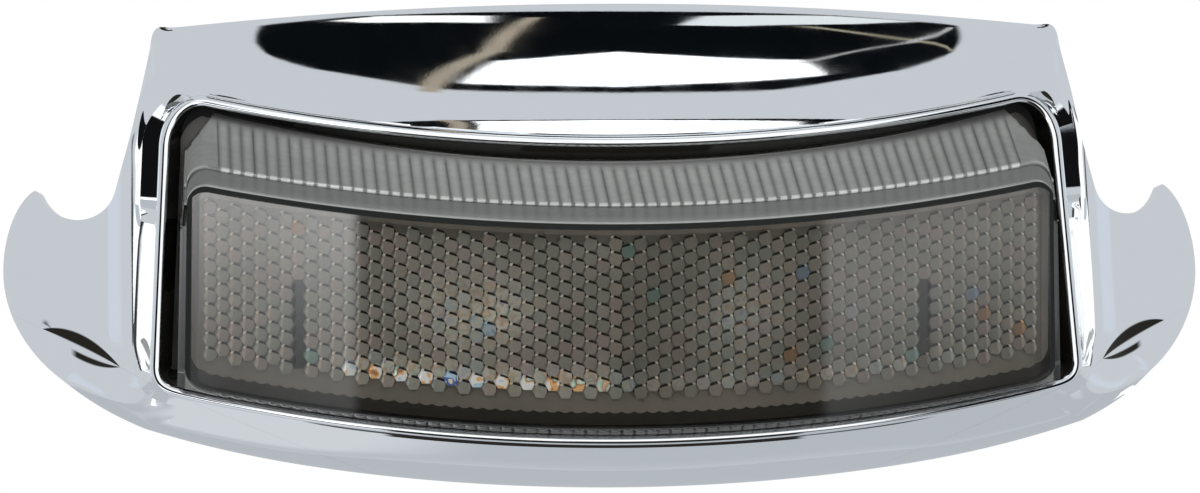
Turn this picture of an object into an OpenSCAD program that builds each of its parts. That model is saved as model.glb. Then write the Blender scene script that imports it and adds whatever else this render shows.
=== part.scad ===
// Rear fender lamp: chrome bezel with two side wings, smoked wedge lens over a
// reflex plate, lamp housing with a bright liner, and two quarter-turn bulb sockets.
//
// The lamp frame: x across, y away from the viewer, z up, with the front of the
// reflex face at y = 0. place() moves it so that the origin is the middle of the
// two fender bolts, on the face that meets the fender.

/* [Bezel] */
// Width across the two wings
overall_w = 269.8; // [262:0.2:278]
// Width of the lamp window at its upper side
window_w = 197.8; // [194:0.2:200]
// Height of the window above the lamp's middle line
window_rise = 21; // [19.5:0.1:22.5]
// Depth of the window below the lamp's middle line
window_fall = 42.1; // [41:0.1:44]
// Height of the curved band above the window
band_h = 29; // [27:0.5:31]
// Height of the rounded lip below the window
lip_h = 11.7; // [11:0.1:13]
// Wall of the casting
wall = 2.4; // [2:0.1:2.8]
// Radius of the bright bead around the window
bead_r = 1.2; // [0.9:0.1:1.4]
// Depth of the window's inner bevel
bevel_depth = 6.5; // [5.5:0.1:7.5]
// Radius of the half-round notch in each wing
notch_r = 9.1; // [8:0.1:9.6]

/* [Fender mount] */
// Distance between the two fender bolts
bolt_spacing = 124; // [116:1:130]
// Height of the fender bolts above the lamp's middle line
axis_drop = 36; // [35:0.5:37]
// Distance from the reflex face to the fender face
lamp_reach = 66; // [64.5:0.5:70]
// Radius of the thread in the mount inserts
thread_r = 3; // [2.5:0.5:3]
// Radius of a mount boss
boss_r = 7; // [6.5:0.1:7.5]
// Length of a mount insert
insert_l = 12; // [8:1:14]

/* [Lens] */
// Thickness of the lens
lens_wall = 2.6; // [2:0.1:3]
// Gap between the lens and the window
lens_gap = 0.4; // [0.3:0.05:0.6]
// Height of the reflex face
plate_h = 43.6; // [41:0.2:44]
// Thickness of the reflex plate
reflex_t = 1.7; // [1.2:0.1:2.2]
// Thickness of the lens flange
flange_t = 2.5; // [2:0.1:3]
// Thickness of the lens gasket
gasket_t = 1.2; // [0.8:0.1:1.6]

/* [Housing] */
// Wall of the housing and its floor
tub_wall = 2.4; // [2:0.1:2.6]
// Gap between the housing's back and the fender face
tub_gap = 9; // [9:0.5:12]
// Radius of the four housing screws
screw_r = 1.5; // [1.25:0.05:1.75]
// Thickness of the bright liner
liner_t = 1.6; // [1.2:0.1:2]
// Radius of the lead hole in the grommet
lead_r = 3; // [2.5:0.1:3.3]

/* [Bulbs] */
// Distance between the two bulbs
bulb_spacing = 62; // [56:1:68]
// Drop of the bulbs below the lamp's middle line
bulb_drop = 14; // [12:0.5:16]
// Radius of a socket's neck
neck_r = 9; // [8.5:0.1:9.4]
// Running clearance of a socket's neck
neck_gap = 0.05; // [0.03:0.01:0.1]
// Turn that unlocks a socket, in degrees
lock_turn = 45; // [30:1:50]
// Radius of a bulb's glass
glass_r = 6.5; // [5.5:0.1:7]
// Length of a bulb's glass
glass_l = 21; // [17:0.5:23]

/* [Hidden] */
$fn = 48;

snug = 0.05;          // fit of a part pressed into its seat
seat_gap = 0.1;       // gap between two faces that rest on each other
free_gap = 0.3;       // gap between parts that turn past each other
body_steps = 8;       // points across the body surface
// Stations in each of the eight stretches of half the bezel
seg_steps = [10, 8, 4, 10, 3, 10, 6, 10];

// ---------- window: the rim surface and its outline ----------
half_w = window_w / 2;
wing_x = overall_w / 2;
rim_front = 4;        // depth of the rim at its lowest point
rim_lean = 0.33;      // the rim leans back this much for each mm of height
rim_bow = 325;        // plan radius of the rim
top_arc = 478;        // radii of the window's upper and lower arcs
low_arc = 500;
side_flare = 2.4;     // the window is this much wider at each lower corner
low_corner = 27;      // height of the lower corners below the middle line

function rim_y(x, z) = rim_front + rim_lean * (z + window_fall + 1.9) + x * x / (2 * rim_bow);
function top_z(x) = window_rise + x * x / (2 * top_arc);
function low_z(x) = -window_fall + x * x / (2 * low_arc);
function side_x(z) = half_w + (window_rise - 1 - z) * side_flare / (window_rise - 1 + low_corner);
function bezier(p, t) = let (u = 1 - t)
    u * u * u * p[0] + 3 * u * u * t * p[1] + 3 * u * t * t * p[2] + t * t * t * p[3];
function unit(v) = v / norm(v);
function polar(c, r, a) = [c[0] + r * cos(a), c[1] + r * sin(a)];

corner_x = half_w - 9.9;               // where the upper arc meets the corner curve
low_x = half_w + side_flare - 7.8;     // where the lower arc meets its corner
top_corner = [[corner_x, top_z(corner_x)], [corner_x + 4.5, top_z(corner_x + 4.5) + 0.2],
    [half_w - 0.7, window_rise + 6], [half_w, window_rise - 1]];
bottom_corner = [[half_w + side_flare, -low_corner], [half_w + side_flare + 0.3, -low_corner - 4.8],
    [low_x + 5.1, low_z(low_x + 5.1)], [low_x, low_z(low_x)]];

// Half the window's outline, from its top middle (s = 0) to its bottom middle (s = 8)
function side_pt(z) = [side_x(z), z];
function rim_pt(s) = let (seg = min(floor(s), 7), t = s - seg)
    seg == 0 ? [corner_x * t, top_z(corner_x * t)] :
    seg == 1 ? bezier(top_corner, t) :
    seg == 2 ? side_pt(window_rise - 1 - (window_rise - 5) * t) :
    seg == 3 ? side_pt(4 - 12 * t) :
    seg == 4 ? side_pt(-8 - 5 * t) :
    seg == 5 ? side_pt(-13 - (low_corner - 13) * t) :
    seg == 6 ? bezier(bottom_corner, t) :
    [low_x * (1 - t), low_z(low_x * (1 - t))];

// ---------- outer outline of the bezel, matched to the window's by s ----------
top_edge = window_rise + band_h;
low_edge = -window_fall - lip_h;
top_bow = 925;
notch_c = [half_w + 19.7, 11.2];
notch_from = 197;     // the notch runs between these two angles
notch_to = 333;
tip = polar(notch_c, notch_r, notch_to);
horn = tip + [2.5, 0];
wing_low = wing_x - 12.9;
edge_x = half_w - 3.4;
function edge_z(x) = top_edge - x * x / (2 * top_bow);
hump = [[edge_x, edge_z(edge_x)], [edge_x + 4, edge_z(edge_x) - 0.5],
    [edge_x + 5.7, edge_z(edge_x) + 1.9], [edge_x + 6.4, edge_z(edge_x) - 4.6]];
shoulder = [hump[3], [edge_x + 7.3, edge_z(edge_x) - 9.1], [edge_x + 8.8, 30], [edge_x + 10.1, 24.4]];
waist = [shoulder[3], [edge_x + 11.5, 18.6], [edge_x + 13.1, 13.5], polar(notch_c, notch_r, notch_from)];
horn_round = [tip, tip + [0.7, 1.5], tip + [1.2, 1.2], horn];
wing_upper = [horn, [horn[0] + 3.2, 4], [wing_x, -2.5], [wing_x, -9.8]];
wing_lower = [[wing_x, -9.8], [wing_x, -18], [wing_x - 4.4, -26.5], [wing_low, -32.3]];
wing_foot = [[wing_low, -32.3], [wing_low - 5, -35.8], [wing_low - 11.5, -39.3],
    [wing_low - 18.5, low_edge + 12.2]];
lip_edge = [wing_foot[3], [76, low_edge + 4], [38, low_edge], [0, low_edge]];
function out_pt(s) = let (seg = min(floor(s), 7), t = s - seg)
    seg == 0 ? [edge_x * t, edge_z(edge_x * t)] :
    seg == 1 ? (t < 0.5 ? bezier(hump, t * 2) : bezier(shoulder, t * 2 - 1)) :
    seg == 2 ? bezier(waist, t) :
    seg == 3 ? polar(notch_c, notch_r, notch_from + (notch_to - notch_from) * t) :
    seg == 4 ? bezier(horn_round, t) :
    seg == 5 ? (t < 0.5 ? bezier(wing_upper, t * 2) : bezier(wing_lower, t * 2 - 1)) :
    seg == 6 ? bezier(wing_foot, t) : bezier(lip_edge, t);

// Sections of the body: [s, step width, step depth, edge depth, run and rise leaving
//   the step, run and rise reaching the edge, and the angle in which the edge is reached]
sections = [
    [0.0, 0.8, 0.3, 56.0, 11.0, 4.0, 5.5, 12.0, 90],
    [0.6, 0.8, 0.3, 56.5, 9.0, 3.2, 5.0, 11.0, 88],
    [1.0, 0.9, 0.4, 56.0, 5.5, 2.2, 4.0, 6.5, 84],
    [1.2, 1.0, 0.6, 55.0, 5.0, 2.5, 2.0, 4.0, 60],
    [1.5, 1.2, 1.0, 53.0, 5.0, 2.5, 2.5, 3.5, 14],
    [2.0, 2.2, 2.6, 52.0, 1.6, 1.6, 1.8, 1.8, 14],
    [3.0, 3.2, 5.2, 53.5, 2.2, 5.0, 2.0, 2.0, 17],
    [3.25, 3.4, 5.6, 55.5, 4.5, 7.0, 2.6, 2.5, 52],
    [3.5, 3.6, 6.0, 58.0, 8.5, 9.0, 4.5, 3.0, 82],
    [4.0, 3.7, 6.3, 66.0, 14.0, 9.0, 9.0, 5.0, 84],
    [5.0, 3.7, 6.4, 67.0, 14.0, 9.0, 11.0, 5.0, 62],
    [5.5, 3.7, 6.2, 64.0, 10.0, 9.0, 9.0, 5.5, 2],
    [6.0, 3.6, 5.0, 48.0, 6.0, 5.0, 5.0, 5.0, -52],
    [6.5, 2.6, 3.2, 38.0, 4.0, 2.0, 2.5, 5.0, -61],
    [7.0, 1.4, 1.2, 30.0, 3.2, 0.6, 1.4, 4.5, -69],
    [7.4, 0.9, 0.5, 21.5, 4.0, 0.4, 1.0, 4.2, -79],
    [8.0, 0.9, 0.5, 15.5, 4.6, 0.3, 0.8, 4.5, -90]];
last = len(sections) - 1;
// Slope of column c at section j: the harmonic mean of its neighbours' slopes
function rise(j, c) = (sections[j + 1][c] - sections[j][c]) / (sections[j + 1][0] - sections[j][0]);
function slope(j, c) = j <= 0 || j >= last ? 0 :
    let (a = rise(j - 1, c), b = rise(j, c)) a * b <= 0 ? 0 : 2 * a * b / (a + b);
function before(s) = max([for (j = [0:last - 1]) if (sections[j][0] <= s) j]);
function section_at(s) = let (j = before(s), h = sections[j + 1][0] - sections[j][0],
        t = (s - sections[j][0]) / h, t2 = t * t, t3 = t2 * t)
    [for (c = [1:8]) (2 * t3 - 3 * t2 + 1) * sections[j][c] + (t3 - 2 * t2 + t) * h * slope(j, c)
        + (3 * t2 - 2 * t3) * sections[j + 1][c] + (t3 - t2) * h * slope(j + 1, c)];

// Outward normal of the window outline, averaged over a short stretch
function clamp_s(s) = min(8, max(0, s));
function turn_out(d) = unit([-d[1], d[0]]);
function rim_step(s) = s <= 0 ? [1, 0] : s >= 8 ? [-1, 0] : rim_pt(clamp_s(s + 0.01)) - rim_pt(clamp_s(s - 0.01));
function total(v, i = 0) = i >= len(v) ? v[0] * 0 : v[i] + total(v, i + 1);
function rim_n(s) = unit(total([for (k = [-2:2]) turn_out(rim_step(clamp_s(s + k * 0.04)))]));
// The wings are one smooth surface: its depth, and how far each section follows it
wing_root = half_w + 6.1;
function wing_y(x, z) = let (d = x - wing_root) 27 + 9 * (1 - exp(-d / 4.5)) + 0.58 * d + 0.4 * (z + 37);
function ease(a, b, x) = let (t = min(1, max(0, (x - a) / (b - a)))) t * t * (3 - 2 * t);
function wing_share(s) = ease(1.6, 2.4, s) * (1 - ease(5.7, 6.5, s));
function on_wing(p, w) = w <= 0 ? p : [p[0], (1 - w) * p[1] + w * wing_y(p[0], p[2]), p[2]];

// A point beside the rim: out from it by d, behind the rim surface by dy
function beside(s, d, dy) = let (p = rim_pt(s) + rim_n(s) * d) [p[0], rim_y(p[0], p[1]) + dy, p[1]];
// Width of the bevel: most at the top, where the window leans away
function bevel_w(n) = 1.3 + 1.2 * abs(n[0]) + 1.7 * n[1];
function opening(s) = -bead_r - bevel_w(rim_n(s));
seat_out = bead_r + 0.6;

function frame_pts(s) = concat(
    [beside(s, opening(s), bevel_depth), beside(s, -bead_r, 0.7)],
    [for (a = [-60, -20, 20, 60]) beside(s, bead_r * sin(a), 0.2 - cos(a))],
    [beside(s, bead_r, 0.5)]);
function body_curve(s) = let (k = section_at(s), n = rim_n(s), o = out_pt(s), m = [cos(k[7]), sin(k[7])],
        step = beside(s, bead_r + k[0], k[1] + 0.3), foot = on_wing(step, wing_share(s)),
        edge = [o[0], k[2], o[1]])
    [foot, step + [n[0] * k[3], k[4] + k[3] * rim_lean * n[1], n[1] * k[3]],
        edge - [m[0] * k[5], k[6], m[1] * k[5]], edge];
function body_pts(s) = let (c = body_curve(s), w = wing_share(s))
    [for (j = [0:body_steps]) on_wing(bezier(c, j / body_steps), w)];

half_s = [for (seg = [0:7]) for (i = [0:seg_steps[seg] - 1]) seg + i / seg_steps[seg]];
function mirror_x(v) = [for (p = v) [-p[0], p[1], p[2]]];
half_body = [for (s = concat(half_s, [8])) body_pts(s)];
half_frame = [for (s = concat(half_s, [8])) frame_pts(s)];
function around(half) = concat(half, [for (i = [len(half) - 2:-1:1]) mirror_x(half[i])]);
body = around(half_body);
frame = around(half_frame);
stations = len(body);
function ring(i) = (i + stations) % stations;
// Unit normal into the casting, averaged over the neighbouring stations
function facing(i, j) = let (a = body[ring(i + 1)][j] - body[ring(i - 1)][j],
        b = body[ring(i)][min(j + 1, body_steps)] - body[ring(i)][max(j - 1, 0)]) unit(cross(b, a));
facings = [for (i = [0:stations - 1]) [for (j = [0:body_steps]) facing(i, j)]];
inward = [for (i = [0:stations - 1]) [for (j = [0:body_steps])
    unit(total([for (k = [-2:2]) facings[ring(i + k)][j]]))]];
function skin_pt(i, j, d) = body[ring(i)][j] + inward[ring(i)][j] * d;

// Joins closed sections of k points each; loop = true joins the last to the first
module loft(secs, loop = false) {
    n = len(secs);
    k = len(secs[0]);
    faces = concat(
        [for (i = [0:n - (loop ? 1 : 2)], j = [0:k - 1]) let (a = (i + 1) % n, b = (j + 1) % k)
            each [[i * k + j, a * k + b, a * k + j], [i * k + j, i * k + b, a * k + b]]],
        loop ? [] : [[for (j = [k - 1:-1:0]) j], [for (j = [0:k - 1]) (n - 1) * k + j]]);
    polyhedron([for (s = secs) each s], faces, convexity = 10);
}
// The casting: frame, body, and the back surface a wall behind them
function seat_pt(i) = let (f = i < len(half_frame) ? i : stations - i,
        s = f < len(half_s) ? half_s[f] : 8, p = beside(s, seat_out, bevel_depth))
    i < len(half_frame) ? p : [-p[0], p[1], p[2]];
module bezel_shell() loft([for (i = [0:stations - 1]) concat([seat_pt(i)], frame[i], body[i],
    [for (j = [body_steps:-1:1]) skin_pt(i, j, wall)])], true);
// A patch of the body's skin between two depths, over some stations and steps
module skin_patch(i0, i1, j0, j1, d0, d1) loft([for (i = [i0:i1]) concat(
    [for (j = [j0:j1]) skin_pt(i, j, d0)], [for (j = [j1:-1:j0]) skin_pt(i, j, d1)])]);
// Everything behind the middle of the wall, back to depth y, over some stations
module behind_skin(i0, i1, y) loft([for (i = [i0:i1]) let (
        front = [for (j = [0:body_steps]) skin_pt(i, j, wall / 2)])
    concat(front, [for (j = [body_steps:-1:0]) [front[j][0], y, front[j][2]]])]);

// ---------- helpers in the lamp frame ----------
module place() { translate([0, -lamp_reach, -axis_drop]) children(); }
module rod(x, z, y0, y1, r) { translate([x, y1, z]) rotate([90, 0, 0]) cylinder(h = y1 - y0, r = r); }
module both(x) { for (side = [-1, 1]) translate([side * x, 0, 0]) children(); }
// The window outline moved out by d, as a prism from y0 to y1
outline_s = [for (s = half_s) if (s == floor(s) || s > 1 && s < 2 || s > 6 && s < 7 ||
    s < 1 && floor(s * 6) == s * 6 || s > 7 && floor(s * 6) == s * 6) s];
function outline_half(d, extra) = [for (s = concat(outline_s, [8]))
    let (n = rim_n(s)) rim_pt(s) + n * (d + extra * opening(s))];
function outline(d, extra = 0) = let (h = outline_half(d, extra))
    concat(h, [for (i = [len(h) - 2:-1:1]) [-h[i][0], h[i][1]]]);
module outline_prism(y0, y1, d, extra = 0) {
    translate([0, y1, 0]) rotate([90, 0, 0]) linear_extrude(height = y1 - y0) polygon(outline(d, extra));
}
// The space between two surfaces that lie d0 and d1 behind the rim surface
slab_step = 12;
slab_half = slab_step * ceil((half_w + side_flare + bead_r + 12) / slab_step);
module rim_slab(d0, d1) {
    xs = [for (x = [-slab_half:slab_step:slab_half]) x];
    n = len(xs);
    function at(x, z, d) = [x, rim_y(x, z) + d, z];
    loft([for (x = xs) [at(x, -80, d0), at(x, 80, d0), at(x, 80, d1), at(x, -80, d1)]]);
}

// ---------- lens ----------
plate_bow = 300;      // plan radius of the reflex face
plate_sag = 525;      // its upper and lower edges curve with this radius
plate_top = window_rise - 16.3;
plate_low = plate_top - plate_h;
strip_back = 3.4;     // the fluted strip lies this far behind the face
brow_back = 2;        // the sloping top starts this far behind the face
function face_y(x) = x * x / (2 * plate_bow);
function plate_z(x, z) = z + x * x / (2 * plate_sag);
lens_top = window_rise - bead_r - 3 - lens_gap;
// Section of the lens's front at x, moved back by d
function lens_section(x, d) = let (y = face_y(x) + d, t = plate_z(x, plate_top), l = plate_z(x, plate_low),
        crown = lens_top + x * x / (2 * top_arc), deep = rim_y(x, crown) + bevel_depth + d)
    [[x, 80, -80], [x, y + strip_back, -80], [x, y + strip_back, l], [x, y, l], [x, y, t],
        [x, y + brow_back, t], [x, deep, crown], [x, deep + 20, crown + 12], [x, 80, crown + 12]];
lens_step = 8;
lens_reach = lens_step * ceil((half_w + side_flare + 1) / lens_step);
module lens_solid(d) { loft([for (x = [-lens_reach:lens_step:lens_reach]) lens_section(x, d)]); }
gasket_at = bevel_depth + seat_gap;
flange_at = gasket_at + gasket_t + seat_gap;
tub_at = flange_at + flange_t + seat_gap;
flange_out = bead_r;

// ---------- housing ----------
tub_back = lamp_reach - tub_gap;
floor_y = tub_back - tub_wall;
bulb_x = bulb_spacing / 2;
bulb_z = -bulb_drop;
lug_n = 3;
lug_h = 1.8;
lug_reach = 2;        // how far a lug stands out from the neck
lug_w = 5;
liner_back = floor_y - seat_gap;
liner_front = liner_back - liner_t;
liner_hole = neck_r + lug_reach + 1;
bowl_r = 19;
bowl_l = 14;
grommet_z = -4;
grommet_r = lead_r + 2;
vent_x = 84;
vent_r = 2.5;
// Housing screws: [x, z, depth of the boss's seat]
screw_up = [28, window_rise + 10, 44];
screw_low = [40, -window_fall - 5, 24];
screws = [[-screw_up[0], screw_up[1], screw_up[2]], [screw_up[0], screw_up[1], screw_up[2]],
    [-screw_low[0], screw_low[1], screw_low[2]], [screw_low[0], screw_low[1], screw_low[2]]];
screw_boss_r = screw_r + 1.9;
ear_t = 3;
screw_bite = 9;

module chrome_bezel() place() color("silver") difference() {
    union() {
        bezel_shell();
        for (side = [-1, 1]) {
            mount_boss(side);
            screw_boss(side, screws[1], 0, seg_steps[0]);
            screw_boss(side, screws[3], len(half_s) - seg_steps[7], len(half_s));
        }
    }
    for (side = [-1, 1]) rod(side * bolt_spacing / 2, axis_drop, lamp_reach - insert_l - 0.5, lamp_reach + 1, insert_r + snug);
    for (p = screws) rod(p[0], p[1], p[2] - screw_bite + 0.5, p[2] + 1, screw_r + snug);
}
insert_r = thread_r + 1.4;
module side_range(side, i0, i1) {
    if (side > 0) behind_skin(i0, i1, lamp_reach + 20);
    else mirror([1, 0, 0]) behind_skin(i0, i1, lamp_reach + 20);
}
module mount_boss(side) intersection() {
    rod(side * bolt_spacing / 2, axis_drop, 20, lamp_reach, boss_r);
    side_range(side, 2, seg_steps[0] + 1);
}
module screw_boss(side, p, i0, i1) intersection() {
    rod(side * p[0], p[1], 5, p[2], screw_boss_r);
    side_range(side, i0, i1);
}

// Rubber welt under the rear edge of the curved band
welt_from = round(seg_steps[0] * 0.9);
module edge_welt() place() color("#1c1c1e") difference() {
    skin_patch(-welt_from, welt_from, body_steps - 2, body_steps, wall + seat_gap, wall + 2);
    both(bolt_spacing / 2) translate([-boss_r - free_gap, 0, 0])
        cube([2 * (boss_r + free_gap), lamp_reach, 2 * axis_drop + 4 * boss_r]);
}
// Rubber pad inside each wing, where it nears the fender
pad_first = seg_steps[0] + seg_steps[1] + seg_steps[2] + seg_steps[3] + seg_steps[4];
module wing_pad() skin_patch(pad_first + 3, pad_first + seg_steps[5] - 2, body_steps - 4, body_steps - 1,
    wall + snug, wall + 3);
module wing_pad_right() place() color("#1c1c1e") wing_pad();
module wing_pad_left() place() color("#1c1c1e") mirror([1, 0, 0]) wing_pad();

module lens() place() color("#5d5f60", 0.7) {
    difference() {
        intersection() {
            union() {
                intersection() {
                    lens_solid(0);
                    outline_prism(-1, lamp_reach, -lens_gap, 1);
                }
                intersection() {
                    rim_slab(flange_at, flange_at + flange_t);
                    outline_prism(-1, lamp_reach, flange_out);
                }
            }
            rim_slab(-60, flange_at + flange_t);
        }
        intersection() {
            lens_solid(lens_wall);
            outline_prism(-1, lamp_reach + 2, -lens_gap - lens_wall, 1);
        }
    }
}
reflex_edge = 3;
reflex_half = half_w - 8.9;
reflex_y = lens_wall + seat_gap;
module reflex_plate() place() color("#8c8a86") loft([for (x = [-1:1 / 12:1]) let (px = x * reflex_half,
        y = face_y(px) + reflex_y, t = plate_z(px, plate_top) - reflex_edge, l = plate_z(px, plate_low) + reflex_edge)
    [[px, y, l], [px, y, t], [px, y + reflex_t, t], [px, y + reflex_t, l]]]);
module lens_gasket() place() color("#161617") intersection() {
    rim_slab(gasket_at, gasket_at + gasket_t);
    difference() {
        outline_prism(-1, lamp_reach, flange_out);
        outline_prism(-2, lamp_reach + 1, 0.6, 1);
    }
}

module ear(p, reach) {
    // A screw ear: a tab from the housing's wall to the screw, with a round end
    translate([p[0] - screw_boss_r, p[2] + seat_gap, min(p[1], reach)])
        cube([2 * screw_boss_r, ear_t, abs(reach - p[1])]);
    rod(p[0], p[1], p[2] + seat_gap, p[2] + seat_gap + ear_t, screw_boss_r);
}
module lamp_housing() place() color("#2b2c2e") difference() {
    union() {
        difference() {
            outline_prism(-1, tub_back, flange_out);
            outline_prism(-2, floor_y, flange_out - tub_wall);
            rim_slab(-80, tub_at);
        }
        for (p = screws) ear(p, p[1] > 0 ? top_z(p[0]) : low_z(p[0]));
    }
    for (p = screws) rod(p[0], p[1], p[2] - 1, p[2] + ear_t + 2, screw_r + 0.2);
    both(bulb_x) socket_hole();
    rod(0, grommet_z, floor_y - 1, tub_back + 1, grommet_r);
    rod(vent_x, bulb_z, floor_y - 1, tub_back + 1, vent_r + snug);
}
// Round hole with a notch for each lug, where the unlocked lugs stand
module socket_hole() {
    rod(0, bulb_z, floor_y - 1, tub_back + 1, neck_r + neck_gap);
    for (k = [0:lug_n - 1]) translate([0, 0, bulb_z]) rotate([0, lock_turn - k * 360 / lug_n, 0])
        translate([0, floor_y - 1, -lug_w / 2 - 0.4]) cube([neck_r + lug_reach + 0.4, tub_wall + 2, lug_w + 0.8]);
}
post_x = 68;
module bright_liner() place() color("#b9babb") {
    difference() {
        union() {
            outline_prism(liner_front, liner_back, flange_out - tub_wall - 0.4);
            both(bulb_x) translate([0, liner_front, bulb_z]) rotate([90, 0, 0]) bowl();
            both(post_x) translate([-2.5, 30, -29]) cube([5, liner_back - 30, 20]);
        }
        both(bulb_x) rod(0, bulb_z, liner_front - 1, liner_back + 1, liner_hole);
        rod(0, grommet_z, liner_front - 1, liner_back + 1, grommet_r + 3);
        rod(vent_x, bulb_z, liner_front - 1, liner_back + 1, vent_r + 1.5);
        rim_slab(-80, tub_at);
    }
}
// Conical reflector bowl around a bulb, opening towards the lens
module bowl() {
    rotate_extrude() polygon([[liner_hole, -0.5], [liner_hole + 1.6, -0.5], [bowl_r + 1.4, bowl_l], [bowl_r, bowl_l]]);
}

module mount_insert(x) place() color("goldenrod") difference() {
    rod(x, axis_drop, lamp_reach - insert_l, lamp_reach, insert_r);
    rod(x, axis_drop, lamp_reach - insert_l - 1, lamp_reach + 1, thread_r);
}
module mount_insert_left() mount_insert(-bolt_spacing / 2);
module mount_insert_right() mount_insert(bolt_spacing / 2);

head_r = screw_r * 1.9;
head_h = 2.2;
module housing_screw(p) place() color("#9a9c9f") difference() {
    union() {
        rod(p[0], p[1], p[2] - screw_bite + 1, p[2] + seat_gap + ear_t + 0.5, screw_r);
        rod(p[0], p[1], p[2] + seat_gap + ear_t + snug, p[2] + ear_t + head_h, head_r);
    }
    translate([p[0] - head_r * 1.5, p[2] + ear_t + head_h - 1.2, p[1] - 0.4]) cube([head_r * 3, 3, 0.8]);
}
module housing_screw_1() housing_screw(screws[0]);
module housing_screw_2() housing_screw(screws[1]);
module housing_screw_3() housing_screw(screws[2]);
module housing_screw_4() housing_screw(screws[3]);

module lead_grommet() place() color("#1a1a1b") translate([0, floor_y - 1.5, grommet_z]) rotate([-90, 0, 0])
    rotate_extrude() polygon([[lead_r, 0], [grommet_r + 1.5, 0], [grommet_r + 1.5, 1.5 - snug],
        [grommet_r - snug, 1.5 - snug], [grommet_r - snug, 1.5 + tub_wall + snug],
        [grommet_r + 2, 1.5 + tub_wall + snug], [grommet_r + 1, tub_wall + 5], [lead_r, tub_wall + 5]]);
module vent_plug() place() color("#3a3b3d") union() {
    rod(vent_x, bulb_z, floor_y + 0.2, tub_back + 0.5, vent_r);
    rod(vent_x, bulb_z, tub_back + snug, tub_back + 2.6, vent_r + 2.5);
}

// ---------- bulbs and sockets, built at x = 0 and moved to each side ----------
socket_front = floor_y - 8;
base_r = neck_r - 2.4;
base_front = socket_front - 2.5;
flange_r = neck_r + 3.4;
seal_t = 1;
flange_y = tub_back + seal_t + 0.2;
grip_y = flange_y + 1.8;
grip_back = lamp_reach - 1.5;
pocket_y = grip_back - 3;
module socket_body() difference() {
    union() {
        rod(0, bulb_z, socket_front, grip_y, neck_r);
        rod(0, bulb_z, flange_y, grip_y, flange_r);
        rod(0, bulb_z, grip_y - 0.5, grip_back, neck_r - 0.5);
        for (k = [0:lug_n - 1]) translate([0, 0, bulb_z]) rotate([0, -k * 360 / lug_n, 0])
            translate([neck_r - 1, floor_y - free_gap - lug_h, -lug_w / 2]) cube([lug_reach + 1, lug_h, lug_w]);
        translate([-flange_r + 1, grip_y - 0.5, bulb_z - 1.5]) cube([2 * flange_r - 2, grip_back - grip_y, 3]);
    }
    rod(0, bulb_z, socket_front - 1, floor_y - 1, base_r + snug);
    rod(0, bulb_z, pocket_y, grip_back + 1, neck_r - 3);
}
module seal() difference() {
    rod(0, bulb_z, tub_back + 0.1, flange_y - snug, flange_r - 0.6);
    rod(0, bulb_z, tub_back, flange_y + 1, neck_r + snug);
}
module base() rod(0, bulb_z, base_front, floor_y - 1 - seat_gap, base_r);
glass_back = base_front - snug;
glass_t = 0.6;
module glass() translate([0, glass_back, bulb_z]) rotate([90, 0, 0]) rotate_extrude() difference() {
    glass_half(glass_r, glass_l);
    translate([0, -0.01]) glass_half(glass_r - glass_t, glass_l - glass_t);
}
module glass_half(r, l) intersection() {
    union() {
        square([r, l - r]);
        translate([0, l - r]) circle(r);
    }
    square([r + 1, l + 1]);
}
filament_y = glass_back - glass_l * 0.55;
module filament() {
    for (side = [-1, 1]) rod(side * 2, bulb_z, filament_y + 0.1, glass_back, 0.3);
    translate([-2.5, filament_y, bulb_z]) rotate([0, 90, 0]) cylinder(h = 5, r = 0.5);
}
module contact_pair() for (side = [-1, 1])
    translate([side * 2.6 - 0.4, pocket_y + snug, bulb_z - 2]) cube([0.8, grip_back - pocket_y - 0.5, 4]);
module left() { place() translate([-bulb_x, 0, 0]) children(); }
module right() { place() translate([bulb_x, 0, 0]) children(); }
module bulb_socket_left() color("#4a4b4d") left() socket_body();
module bulb_socket_right() color("#4a4b4d") right() socket_body();
module socket_seal_left() color("#171718") left() seal();
module socket_seal_right() color("#171718") right() seal();
module bulb_base_left() color("#8f8f86") left() base();
module bulb_base_right() color("#8f8f86") right() base();
module bulb_glass_left() color("#dfe6ea", 0.5) left() glass();
module bulb_glass_right() color("#dfe6ea", 0.5) right() glass();
module filament_left() color("#c9c4b8") left() filament();
module filament_right() color("#c9c4b8") right() filament();
module contacts_left() color("#c9a15a") left() contact_pair();
module contacts_right() color("#c9a15a") right() contact_pair();

chrome_bezel();
edge_welt();
wing_pad_left();
wing_pad_right();
lens();
reflex_plate();
lens_gasket();
lamp_housing();
bright_liner();
mount_insert_left();
mount_insert_right();
housing_screw_1();
housing_screw_2();
housing_screw_3();
housing_screw_4();
lead_grommet();
vent_plug();
bulb_socket_left();
bulb_socket_right();
socket_seal_left();
socket_seal_right();
bulb_base_left();
bulb_base_right();
bulb_glass_left();
bulb_glass_right();
filament_left();
filament_right();
contacts_left();
contacts_right();
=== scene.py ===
"""Rear fender tail light: fine meshes, finishes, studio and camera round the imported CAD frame.

Shapes are worked out in the lamp's own frame, in millimetres: x across, y away from the viewer
and z up, with y = 0 at the foremost line of the lens and z = 0 on the window's middle line.
"""

from __future__ import annotations

import logging
import math
from dataclasses import dataclass
from enum import Enum

import bpy
import numpy as np
from mathutils import Matrix, Vector


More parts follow.
